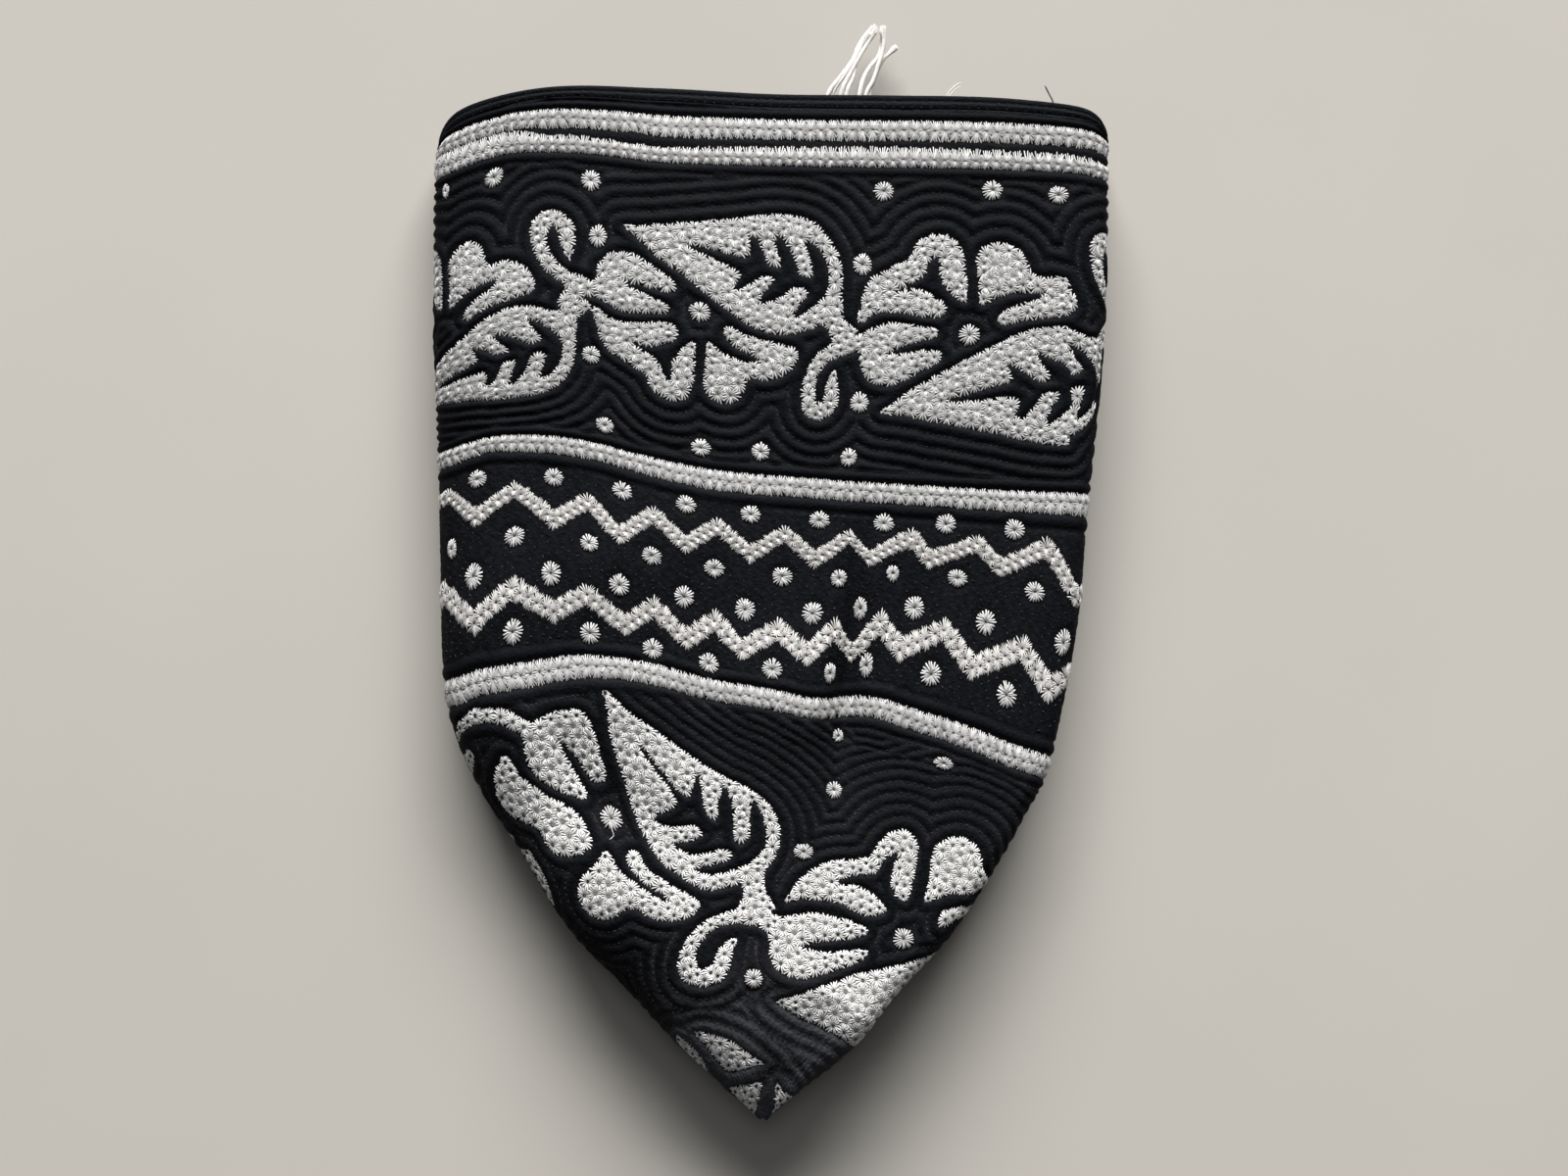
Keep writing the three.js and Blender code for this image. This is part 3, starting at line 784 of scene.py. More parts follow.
def ground(u, v):
    """Height of the black cloth over its grooves, and its tone: 1 in a channel, lighter with lint, dust and
    painted sheen, 0 on a cord, its own black with painted shade.
    """
    u, v = np.asarray(u, float), np.asarray(v, float)
    stripe, vine, band = ground_fields(u, v)
    # The tone is lighter in the channels, for lint and dust with painted sheen, and darkest on the cords, their
    # own black with painted shade.
    round_vine, round_stripe = rib(vine + RIB_START, RIB_PITCH), rib(stripe, RIB_PITCH)
    height, tone = (np.where(vine < FAR - 1, a, b) for a, b in zip(round_vine, round_stripe))
    along = u * WALL_PANEL
    pebble = np.sin(along * 2.4 + 1.7 * np.sin(v * 1.3)) * np.sin(v * 2.1 + np.sin(along * 1.1))
    uneven = 0.09 * np.sin(along * 0.9 + 2.0 * np.sin(v * 0.8)) * np.sin(v * 1.3 + 1.5 * np.sin(along * 0.55))
    height = np.where(v > WALL_HEIGHT, CROWN_RIB * height + 0.12, height) + uneven
    # Near the tip the tone rises past 1: wear, with painted sheen where the cloth turns from the light.
    tone = np.maximum(tone, WORN_AND_SHEEN_TIP * np.clip((v - WORN_AND_SHEEN_FROM) / WORN_AND_SHEEN_OVER, 0, 1))
    height = np.where(band, BAND_HEIGHT + 0.13 * pebble, height)
    tone = np.where(band, BAND_TONE + 0.25 * pebble, tone)
    cord = (stripe < CORD_WIDTH) & (v < WALL_HEIGHT + CORD_PAST_SEAM)
    cord_height, cord_tone = rib(stripe, CORD_WIDTH)
    height, tone = np.where(cord, cord_height, height), np.where(cord, cord_tone, tone)
    height = height * np.clip((TIP + 1 - v) / 8, 0.1, 1)
    under = (stripe < 0) | (vine < 0)
    height, tone = np.where(under, 0.0, height), np.where(under, 0.0, tone)
    share = dot_share(u, v)
    return height * (1 - share) + DOT_FLAT * share, tone * (1 - share) + DOT_TONE * share


def mesh_object(name, points, faces):
    """A mesh in metres from points in millimetres and arrays of quads or triangles."""
    mesh = bpy.data.meshes.new(name)
    points = np.asarray(points, float).reshape(-1, 3) * MM
    faces = [np.asarray(f, int) for f in faces if len(f)]
    mesh.vertices.add(len(points))
    mesh.vertices.foreach_set("co", points.ravel())
    corners = np.concatenate([f.ravel() for f in faces])
    sizes = np.concatenate([np.full(len(f), f.shape[1]) for f in faces])
    starts = np.concatenate([[0], np.cumsum(sizes)[:-1]])
    mesh.loops.add(len(corners))
    mesh.loops.foreach_set("vertex_index", corners)
    mesh.polygons.add(len(sizes))
    mesh.polygons.foreach_set("loop_start", starts)
    mesh.polygons.foreach_set("use_smooth", np.ones(len(sizes), bool))
    mesh.update(calc_edges=True)
    mesh.validate()
    piece = bpy.data.objects.new(name, mesh)
    bpy.context.scene.collection.objects.link(piece)
    return piece


def add_tone(piece, values):
    """A shade on each point, for the material."""
    tone = piece.data.attributes.new("tone", "FLOAT", "POINT")
    tone.data.foreach_set("value", np.asarray(values, np.float32))


def grid_faces(rows, columns, closed):
    """Quads of a grid of points, numbered row by row, seen from outside."""
    r = np.arange(rows - 1)[:, None]
    c = np.arange(columns if closed else columns - 1)[None, :]
    d = (c + 1) % columns
    a, b, e, f = r * columns + c, r * columns + d, (r + 1) * columns + d, (r + 1) * columns + c
    return np.stack([a, f, e, b], axis=-1).reshape(-1, 4)


def shell_columns(fine, coarse):
    """Values of u for a shell: fine on the shown panel, coarse below, few on the layers folded inside."""
    stretches = [
        (0, 1, WALL_PANEL / fine), (1, 1.05, 6), (1.05, 1.95, 16), (1.95, 2.05, 10), (2.05, 2.95, 16),
        (2.95, 3, 6), (3, 3.9, 0.9 * WALL_PANEL / coarse), (3.9, 4, 0.1 * WALL_PANEL / (0.5 * (fine + coarse))),
    ]
    return np.concatenate([np.linspace(a, b, int(count), endpoint=False) for a, b, count in stretches])


FADE_END, FADE_START, FADE_WIDTH = 1.06, 2.94, 0.05


def detail_fade(u):
    """1 where the outer face can be seen, 0 on the two layers folded inside."""
    u = u % 4
    return np.clip((FADE_END - u) / FADE_WIDTH, 0, 1) + np.clip((u - FADE_START) / FADE_WIDTH, 0, 1)


EDGE_BULGE = 0.45  # how far the binding's edge rounds out
INNER_STEP = 5  # between the rows of points on the inner face


def rolled_edge(outer, inner):
    """Rows of points that lead from the first row of the outer face round to that of the inner one."""
    ahead = outer[0] - outer[1]
    ahead /= np.linalg.norm(ahead, axis=1, keepdims=True)
    rows = []
    for angle in np.linspace(0, np.pi, 8)[1:-1]:
        mix = (1 - math.cos(angle)) / 2
        rows.append((1 - mix) * outer[0] + mix * inner[0] + ahead * EDGE_BULGE * math.sin(angle))
    return np.array(rows)


def shell(name, v_from, v_to, v_step, u, hollow_end=None, rounded=False):
    """A closed shell of the cloth between two distances from the rim, or up to the end of its hollow."""
    count = len(u)
    uu, vv = np.meshgrid(u, np.linspace(v_from, v_to, max(2, int(round((v_to - v_from) / v_step)) + 1)))
    lift, tone = ground(uu, vv) if v_from >= BINDING_HEIGHT else binding(vv)
    fade = detail_fade(uu)
    outer = on_cloth(uu, vv, lift * fade + GROUND_SINK * (1 - fade))
    inner_to = hollow_end or v_to
    inner_rows = np.linspace(v_from, inner_to, max(3, int((inner_to - v_from) / INNER_STEP) + 2))
    inner = sample(INNER, *np.meshgrid(u, inner_rows))
    rows = np.concatenate([outer[::-1]] + [rolled_edge(outer, inner)] * rounded + [inner])
    points = rows.reshape(-1, 3)
    faces = [grid_faces(len(rows), count, True)[:, ::-1]]
    around, last = np.arange(count), len(points) - count
    after = (around + 1) % count
    if hollow_end is None:
        faces.append(np.column_stack([last + after, after, around, last + around]))
    else:
        # The tip and the blind end of the hollow are closed by fans.
        faces.append(np.column_stack([around, after, np.full(count, len(points))]))
        faces.append(np.column_stack([last + after, last + around, np.full(count, len(points) + 1)]))
        points = np.vstack([points, rows[0].mean(axis=0), rows[-1].mean(axis=0)])
    tones = np.zeros(len(points))
    tones[:tone.size] = tone[::-1].ravel()
    piece = mesh_object(name, points, faces)
    add_tone(piece, tones)
    return piece


RIM_START = 1.5  # the binding's edge is rounded from here to the rim
BINDING_ROWS = (2.75, 4.45)  # the two sewn rows, down from the rim's edge
TAPE_HEIGHT = 0.62
ROW_DEPTH, ROW_WIDTH = 0.2, 0.28  # of the dips that the two rows pull into the tape


def binding(v):
    """Height and tone of the binding: a flat tape with two sewn rows and a rounded lower edge."""
    rows = sum(np.exp(-(((v - row) / ROW_WIDTH) ** 2)) for row in BINDING_ROWS)
    edge = np.clip((BINDING_HEIGHT + 0.02 - v) / 0.3, 0, 1) ** 0.5
    return (TAPE_HEIGHT - ROW_DEPTH * rows) * edge, 0.1 + 0.35 * rows


# Materials

def new_material(name):
    material = bpy.data.materials.new(name)
    material.use_nodes = True
    tree = material.node_tree
    return material, tree, next(n for n in tree.nodes if n.type == "BSDF_PRINCIPLED")


def fill_sockets(tree, node, sockets):
    """Sets each socket, or links it where its value is another node's output."""
    for name, value in sockets.items():
        if isinstance(value, bpy.types.NodeSocket):
            tree.links.new(value, node.inputs[name])
        else:
            node.inputs[name].default_value = value


def add_node(tree, kind, output, sockets=None, **settings):
    """The named output of a new shader node."""
    node = tree.nodes.new("ShaderNode" + kind)
    for name, value in settings.items():
        setattr(node, name, value)
    fill_sockets(tree, node, sockets or {})
    return node.outputs[output]


def noise(tree, place, scale, detail):
    return add_node(tree, "TexNoise", "Fac", {"Vector": place, "Scale": scale, "Detail": detail})


def multiply_add(tree, value, factor, more):
    return add_node(tree, "Math", "Value", {0: value, 1: factor, 2: more}, operation="MULTIPLY_ADD")


def bump(tree, height, strength, distance):
    return add_node(tree, "Bump", "Normal", {"Height": height, "Strength": strength, "Distance": distance})


def place_and_tone(tree):
    return add_node(tree, "TexCoord", "Object"), add_node(tree, "Attribute", "Fac", attribute_name="tone")


def ramp(tree, source, stops):
    """Colour for a value, blended between stops of a value and a colour."""
    node = tree.nodes.new("ShaderNodeValToRGB")
    elements = node.color_ramp.elements
    while len(elements) < len(stops):
        elements.new(0.5)
    for element, (place, colour) in zip(elements, stops):
        element.position = place
        element.color = (*colour, 1)
    tree.links.new(source, node.inputs["Fac"])
    return node.outputs["Color"]


def cloth_material(name, dark, light, worn_and_sheen, weave_scale, rough):
    """Black cotton: fine twill bump, lint specks and slow changes of shade. Its last colour is wear with
    painted sheen, on the crown's tip.
    """
    material, tree, shader = new_material(name)
    place, tone = place_and_tone(tree)
    slow = add_node(tree, "Math", "Value", {0: noise(tree, place, 90.0, 4.0), 1: tone}, operation="MULTIPLY")
    grain = noise(tree, place, 1500.0, 4.0)
    weave = add_node(tree, "TexVoronoi", "Distance", {"Vector": place, "Scale": weave_scale})
    stops = [(0.2, dark), (0.72, light), (1.0, worn_and_sheen)]
    fill_sockets(tree, shader, {
        "Base Color": ramp(tree, multiply_add(tree, grain, 0.5, slow), stops),
        "Normal": bump(tree, multiply_add(tree, weave, 0.6, grain), 0.8, 0.00016),
        "Roughness": rough,
        "Specular IOR Level": 0.04,
    })
    return material


def thread_material(name, dark, light, sheen):
    """Cotton thread: the tone on each strand, with a fine twist in the bump."""
    material, tree, shader = new_material(name)
    place, tone = place_and_tone(tree)
    twist = add_node(tree, "TexWave", "Fac", {"Vector": place, "Scale": 2200.0, "Distortion": 3.0})
    shade = multiply_add(tree, noise(tree, place, 900.0, 3.0), 0.5, tone)
    fill_sockets(tree, shader, {
        "Base Color": ramp(tree, shade, [(0.1, dark), (0.95, light)]),
        "Normal": bump(tree, twist, 0.25, 0.00006),
        "Roughness": 0.7,
        "Specular IOR Level": 0.14,
        "Sheen Weight": sheen,
        "Sheen Roughness": 0.4,
    })
    return material


# The third colour of each is wear with painted sheen; only the crown's tip reaches it.
BLACK_WALL = cloth_material("black_wall_cotton", (0.0020, 0.0024, 0.0036), (0.0088, 0.0092, 0.0112),
                            (0.03, 0.031, 0.035), 1700.0, 0.7)
BLACK_CROWN = cloth_material("black_crown_cotton", (0.0030, 0.0034, 0.0048), (0.0132, 0.0137, 0.016),
                             (0.042, 0.044, 0.05), 1700.0, 0.7)
BLACK_BINDING = cloth_material("black_binding_tape", (0.0036, 0.0041, 0.0058), (0.0120, 0.0125, 0.015),
                               (0.03, 0.031, 0.035), 2000.0, 0.6)
ZIGZAG_THREAD = thread_material("white_zigzag_thread", (0.42, 0.41, 0.40), (0.80, 0.78, 0.765), 0.08)
# The wall's and the crown's threads are one white thread in two copies: the wall's is painted darker as painted
# shade, the crown's brighter as painted light.
WALL_THREAD_SHADED = thread_material("white_wall_thread_painted_shade", (0.31, 0.307, 0.307), (0.72, 0.713, 0.71), 0.08)
CROWN_THREAD_LIT = thread_material("white_crown_thread_painted_light", (0.66, 0.652, 0.645), (0.99, 0.98, 0.968), 0.08)
YARN = thread_material("white_stuffing_yarn", (0.50, 0.49, 0.47), (0.72, 0.70, 0.67), 0.05)
# The fill is white thread, painted grey: painted shade in the gaps between the star threads.
PAD_PAINTED_SHADE = thread_material("thread_fill_painted_shade", (0.18, 0.178, 0.176), (0.38, 0.375, 0.37), 0.0)
# Black sewing thread, painted light grey towards its light end: painted highlight on the stitches.
BLACK_THREAD_PAINTED_HIGHLIGHT = thread_material("black_sewing_thread_painted_highlight", (0.010, 0.0105, 0.013), (0.052, 0.055, 0.062), 0.0)
HOLE_BLACK = thread_material("eyelet_hole_cotton", (0.010, 0.010, 0.012), (0.03, 0.03, 0.034), 0.0)


def finish_piece(piece, material, slot, *nodes):
    piece.data.materials.append(material)
    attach(piece, "root")
    if nodes:
        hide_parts(*nodes)
    return piece


# The cloth shells

# Sizes of the quads on the shown side and on the others
FINE, COARSE = ((0.6, 1.15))
SEAM = 0.05  # the pieces of cloth lie this far apart
RIM_PIECE = finish_piece(
    shell("rim_binding_tape", RIM_START, BINDING_HEIGHT, 0.3, shell_columns(1.0, 1.6), rounded=True),
    BLACK_BINDING, "binding_cloth", "rim_binding")
WALL_PIECE = finish_piece(
    shell("side_wall_cloth", BINDING_HEIGHT + SEAM, WALL_HEIGHT, FINE, shell_columns(FINE, COARSE)),
    BLACK_WALL, "wall_cloth", "side_wall")
CROWN_PIECE = finish_piece(
    shell("crown_cloth", WALL_HEIGHT + SEAM, TIP, FINE, shell_columns(FINE * 1.2, COARSE * 1.6), HOLLOW_END),
    BLACK_CROWN, "crown_cloth", "crown")

# The embroidery: padded fields with star stitches on them

PAD_HEIGHT = 0.36
PAD_INSET = 0.45
PAD_ROUND = 0.55


def pad_height(distance):
    """Height of the fill for a distance inside the outline: it swells from the inset on."""
    deep = distance - PAD_INSET
    return np.where(deep < 0, 1.1 * deep, PAD_HEIGHT * (1 - np.exp(-np.maximum(deep, 0) / PAD_ROUND)))


def lattice(area, size, more=0):
    """An even grid of places over an area, which is u from, u to, v from, v to."""
    u_from, u_to, v_from, v_to = area
    columns = int((u_to - u_from) * WALL_PANEL / size) + more
    rows = int((v_to - v_from) / size) + more
    return np.meshgrid(np.linspace(u_from, u_to, columns), np.linspace(v_from, v_to, rows))


def pad(distance, area, size):
    """The filled base of an embroidered field: it sinks under the cloth at its outline."""
    uu, vv = lattice(area, size, 1)
    inside = distance(uu, vv)
    quads = grid_faces(*uu.shape, False)
    quads = quads[inside.ravel()[quads].max(axis=1) > 0]
    used, quads = np.unique(quads, return_inverse=True)
    inside = np.maximum(inside.ravel()[used], -0.5)
    points = on_cloth(uu.ravel()[used], vv.ravel()[used], pad_height(inside))
    return points, quads.reshape(-1, 4), rng.random(len(used)) * 0.2 + 0.2


def packed(points, ring, spacing, taken=()):
    """Picks points that keep a spacing, each as near as it can be to those picked before, ring by ring."""
    chosen, gap = [], np.full(len(points), 4.0 * spacing)
    for place in taken:
        gap = np.minimum(gap, np.linalg.norm(points - place, axis=1))
    free = gap >= 0.85 * spacing
    while free.any():
        score = np.where(free, ring + np.minimum(gap, 4 * spacing), np.inf)
        i = int(np.argmin(score))
        chosen.append(i)
        gap = np.minimum(gap, np.linalg.norm(points - points[i], axis=1))
        free &= gap >= spacing
    return np.array(chosen, int)


def tip_stars(motifs, u_from, u_to, spacing):
    """Star centres in the pointed tips of the outlines, a spacing apart."""
    places = np.concatenate(motifs.tips)
    turned = (places[:, 0] - u_from) % 4 + u_from
    inside = motifs.distance(turned, places[:, 1])
    keep = (turned < u_to) & (inside > 0.15) & (inside < 1.3)
    u, v = turned[keep], places[keep, 1]
    if len(u) == 0:
        return u, v
    chosen = packed(sample(OUTER, u, v), np.zeros(len(u)), 0.8 * spacing)
    return u[chosen], v[chosen]


FIRST_ROW = 1.4  # from an outline to the first row of star centres
ROW_PITCH = 0.9  # of the spacing, from row to row


def fill_stars(motifs, area, spacing):
    """Star centres in rows that follow the outline of a field."""
    u, v = (g.ravel() for g in lattice(area, size=0.5))
    inside = motifs.distance(u, v)
    keep = inside > 0.6
    u, v, inside = u[keep], v[keep], inside[keep]
    row = np.maximum(0, np.round((inside - FIRST_ROW) / (spacing * ROW_PITCH)))
    off = np.abs(inside - FIRST_ROW - row * spacing * ROW_PITCH)
    points = sample(OUTER, u, v)
    tip_u, tip_v = tip_stars(motifs, area[0], area[1], spacing)
    tips = sample(OUTER, tip_u, tip_v)
    chosen = packed(points, row * 6 * spacing + 3 * off, spacing, tips)
    settled = np.vstack([tips, points[chosen]])
    gap = np.min([np.linalg.norm(points - centre, axis=1) for centre in settled], axis=0)
    open_spots = np.where(gap > 0.7 * spacing)[0]
    if len(open_spots):
        more = packed(points[open_spots], 6 * spacing - 2 * gap[open_spots], 0.85 * spacing)
        chosen = np.concatenate([chosen, open_spots[more]])
    even_u, even_v = evened(points, u, v, points[chosen], tips)
    return np.concatenate([tip_u, even_u]), np.concatenate([tip_v, even_v])


def evened(points, u, v, centres, fixed):
    """Moves each centre towards the middle of the points nearest to it, three times."""
    kept = len(fixed)
    for _ in range(3):
        every = np.vstack([fixed, centres])
        owner = np.concatenate([
            np.argmin(((points[i:i + 4000, None] - every[None]) ** 2).sum(axis=2), axis=1)
            for i in range(0, len(points), 4000)])
        count = np.maximum(np.bincount(owner, minlength=len(every)), 1)
        middle = np.column_stack([np.bincount(owner, points[:, k], minlength=len(every)) for k in range(3)])
        centres = centres + 0.8 * ((middle / count[:, None])[kept:] - centres)
    nearest = np.unique([np.argmin(((points - c) ** 2).sum(axis=1)) for c in centres])
    return u[nearest], v[nearest]


NEIGHBOURS = 8


def cell_reach(u, v, limit):
    """A thread's length for each direction: halfway to the next star, or the limit."""
    right = (u[None] - u[:, None]) * sample(REACH, u, v)[:, None]
    down = v[None] - v[:, None]
    order = np.argsort(np.hypot(right, down), axis=1)[:, 1:1 + NEIGHBOURS]
    right, down = np.take_along_axis(right, order, 1), np.take_along_axis(down, order, 1)

    def reach(angle):
        ahead = right[:, None] * np.cos(angle)[..., None] + down[:, None] * np.sin(angle)[..., None]
        halfway = (right**2 + down**2)[:, None] / (2 * np.maximum(ahead, 0.05))
        return np.minimum(limit, halfway.min(axis=2))

    return reach


LOW_END = 0.42  # how far a thread comes down where it ends at the outline
# A thread's height from the eyelet to its far end
FIELD_RISE = (0.0, 0.13, 0.2, 0.2)
CROWN_RISE = (0.0, 0.09, 0.13, 0.13)
LINE_RISE = (0.12, 0.27, 0.33, 0.33)


def picked(values, index):
    """One value of each last row."""
    return np.take_along_axis(values, index[..., None], -1)[..., 0]


def stopped_at_outline(base_u, base_v, angle, length, distance, overshoot):
    """Thread lengths cut where they first leave their field, and how deep in it their ends lie."""
    margin = overshoot * (1.25 * rng.random(length.shape) - 0.3)
    marks = length[..., None] * np.linspace(0.2, 1, 9)
    cosine, sine = np.cos(angle)[..., None], np.sin(angle)[..., None]
    deep = distance(*step(base_u[..., None], base_v[..., None], marks * cosine, marks * sine))
    room = deep + margin[..., None]
    out = room < 0
    first = np.where(out.any(axis=-1), out.argmax(axis=-1), marks.shape[-1] - 1)
    before = np.maximum(first - 1, 0)
    here, inside = picked(room, first), picked(room, before)
    share = np.where(here < 0, inside / np.maximum(inside - here, 1e-6), 1.0)
    start, end = picked(marks, before), picked(marks, first)
    cut = np.clip(start + np.clip(share, 0, 1) * (end - start), 0.5, None)
    return cut, np.where(here < 0, 0.0, deep[..., -1])


def star_threads(u, v, count, reach, distance, base, stations, hole, half_width, overshoot=0.32, spin=None,
                 rise=FIELD_RISE, stretch=1.0):
    """Radiating threads of many star stitches at once. reach gives a thread's length for its direction.

    A stretch over 1 turns more of the threads across the star's own direction, which is its spin.
    """
    n = len(u)
    start = rng.random((n, 1)) * 2 * np.pi if spin is None else spin[:, None]
    wobble = 0.4 if count > 1 else 0.05
    turn = (np.arange(count)[None, :] + 0.5 + wobble * (rng.random((n, count)) - 0.5)) * 2 * np.pi / count
    if count == 1:
        turn = turn - np.pi
    angle = start + np.arctan2(stretch * np.sin(turn), np.cos(turn))
    length = reach(angle) * (0.94 + 0.16 * rng.random((n, count)))
    base_u, base_v = np.repeat(u[:, None], count, 1), np.repeat(v[:, None], count, 1)
    edge = np.full((n, count), 5.0)
    if distance is not None:
        length, edge = stopped_at_outline(base_u, base_v, angle, length, distance, overshoot)
    share = np.linspace(0, 1, stations)
    radius = hole + (length[..., None] - hole) * share
    lift = np.interp(share, [0, 0.35, 0.75, 1], rise)
    low_end = np.clip(1 - edge / 0.9, 0, 1)[..., None] * share**2
    height = base + lift + 0.1 * rng.random((n, count, 1)) * share - low_end * LOW_END
    width = half_width * np.interp(share, [0, 0.4, 0.8, 1], [0.5, 0.9, 1.1, 0.8])
    across = np.array([-1.0, 0.0, 1.0])
    side = width[:, None] * across
    radius, cosine, sine = radius[..., None], np.cos(angle)[..., None, None], np.sin(angle)[..., None, None]
    right, down = radius * cosine - side * sine, radius * sine + side * cosine
    tall = height[..., None] - 0.16 * np.abs(across)
    place_u, place_v = step(base_u[..., None, None], base_v[..., None, None], right, down)
    points = on_cloth(place_u.ravel(), np.clip(place_v.ravel(), 0, TIP), tall.ravel())
    shift = np.arange(n * count)[:, None, None] * stations * 3
    faces = (grid_faces(stations, 3, False)[None] + shift).reshape(-1, 4)
    tone = np.repeat(rng.random(n * count), stations * 3) * 0.55
    # Each thread is painted darker at its inner end, painted shade where star threads dip into the eyelet, and
    # a little lighter at its far end.
    dim = np.tile(np.repeat(np.interp(share, [0, 0.4, 1], [-0.3, 0.0, 0.1]), 3), n * count)
    return points, faces, np.clip(tone + dim, -0.3, 0.7)


def holes(u, v, radius, height):
    """Dark pinholes in the middle of the stars."""
    sides = 6
    angle = 2 * np.pi * np.arange(sides) / sides
    right = np.concatenate([[0], radius * np.cos(angle)])
    down = np.concatenate([[0], radius * np.sin(angle)])
    pu, pv = step(u[:, None], v[:, None], right[None], down[None])
    tall = np.repeat(np.concatenate([[height - 0.1], np.full(sides, height + 0.04)])[None], len(u), 0)
    points = on_cloth(pu.ravel(), np.clip(pv.ravel(), 0, TIP), tall.ravel())
    fan = np.array([[0, 1 + (k + 1) % sides, 1 + k] for k in range(sides)])
    faces = (fan[None] + (np.arange(len(u)) * (sides + 1))[:, None, None]).reshape(-1, 3)
    return points, faces, np.full(len(points), 0.2)


def joined(name, parts, material, slot):
    """One piece from several sets of points, faces and tones."""
    points, faces, tones = zip(*parts)
    starts = np.cumsum([0] + [len(p) for p in points])
    piece = mesh_object(name, np.concatenate(points), [f + start for f, start in zip(faces, starts)])
    add_tone(piece, np.concatenate(tones))
    return finish_piece(piece, material, slot)


SHOWN, UNDER = (-0.06, 1.04), (3.02, 3.94)
PAD_SIZE = {SHOWN: FINE, UNDER: 0.9}
SIDES = [SHOWN, UNDER]
STAR_BASE = 0.34
# Threads of a star, points along each, half a thread's width, and how far threads may pass the outline
FIELD_STARS = {SHOWN: (16, 4, 0.15, 0.5), UNDER: (8, 3, 0.32, 0.32)}
LINE_STARS = {SHOWN: (22, 4, 0.13, 0.34), UNDER: (10, 3, 0.26, 0.34)}
FIELD_REACH = 2.3  # a thread's greatest length in a field
LINE_HOLE, LINE_PIN = 0.2, 0.18  # where a line's threads start, and the radius of its pinholes
LINE_STRETCH = 1.5
STAR_LEAN = 0.2  # the stars of a line are turned by this much


def embroider(name, distance, v_range, thread, stars_on):
    """Pad, stars and pinholes on the shown side and, plainer, underneath."""
    pads = [pad(distance, side + v_range, PAD_SIZE[side]) for side in SIDES]
    stars, pins = zip(*(made for side in SIDES for made in stars_on(side)))
    joined(name + "_fill", pads, PAD_PAINTED_SHADE, "white_thread")
    joined(name + "_stitches", stars, thread, "white_thread")
    joined(name + "_pinholes", pins, HOLE_BLACK, "white_thread")


def embroider_field(name, motifs, v_range, spacing, hole, rise, thread):
    """Closed outlines, filled with stars."""
    def stars_on(side):
        u, v = fill_stars(motifs, side + v_range, spacing)
        count, stations, half_width, overshoot = FIELD_STARS[side]
        yield (star_threads(u, v, count, cell_reach(u, v, FIELD_REACH), motifs.distance, STAR_BASE, stations,
                            hole, half_width, overshoot, rise=rise),
               holes(u, v, hole, PAD_HEIGHT))

    embroider(name, motifs.distance, v_range, thread, stars_on)


embroider_field("wall_vine", WALL_MOTIFS, (14.0, 84.0), 2.5, 0.22, FIELD_RISE, WALL_THREAD_SHADED)
embroider_field("crown_vine", CROWN_MOTIFS, (124.0, 225.5), 2.7, 0.34, CROWN_RISE, CROWN_THREAD_LIT)


def along_line(corners, pitch, u_from, u_to):
    """Star centres spread evenly from corner to corner of a line, with the line's direction."""
    rows = []
    for a, b in zip(corners[:-1], corners[1:]):
        length = float(np.hypot((b[0] - a[0]) * WALL_PANEL, b[1] - a[1]))
        count = max(1, round(length / pitch))
        direction = math.atan2(b[1] - a[1], (b[0] - a[0]) * WALL_PANEL)
        for k in range(count):
            u, v = a + (b - a) * k / count
            rows.append(((u - u_from) % 4 + u_from, v, direction))
    u, v, direction = np.array(sorted(rows)).T
    keep = u < u_to
    return u[keep], v[keep], direction[keep]


def embroider_lines(name, distance, lines, pitch, limit, v_range, thread):
    """Stripes or zigzags, with stars as wide as the line. Each line has its corners and its own distance."""
    def stars_on(side):
        count, stations, half_width, overshoot = LINE_STARS[side]
        for corners, own_distance in lines:
            u, v, direction = along_line(corners, pitch, *side)
            v = v + 0.2 + 0.3 * (rng.random(len(v)) - 0.5)
            direction = direction + STAR_LEAN + 0.5 * (rng.random(len(v)) - 0.5)
            yield (star_threads(u, v, count, cell_reach(u, v, limit), own_distance, STAR_BASE, stations,
                                LINE_HOLE, half_width, overshoot, direction, LINE_RISE, LINE_STRETCH),
                   holes(u, v, LINE_PIN, PAD_HEIGHT))

    embroider(name, distance, v_range, thread, stars_on)


STRIPE_PITCH = 2.1


def stripe_course(line):
    """A stripe's places at its stars, and the distance to this stripe alone."""
    u = np.arange(0, 4.0001, STRIPE_PITCH / WALL_PANEL)
    return np.column_stack([u, line(u)]), lambda at_u, at_v: stripe_distance(at_u, at_v, line)


def zigzag_lines():
    """Corner places of each zigzag, and the distance to this zigzag alone."""
    return [(corners, lambda at_u, at_v, way=way: zigzag_distance(at_u, at_v, *way))
            for corners, way in zip(ZIGZAGS, ZIGZAG_COURSES)]


embroider_lines("stripe", stripes_distance, [stripe_course(line) for line in STRIPES], STRIPE_PITCH, 2.8,
                (5.0, 136.0), WALL_THREAD_SHADED)
embroider_lines("zigzag", zigzags_distance, zigzag_lines(), 2.05, 2.3, (82.0, 130.0), ZIGZAG_THREAD)


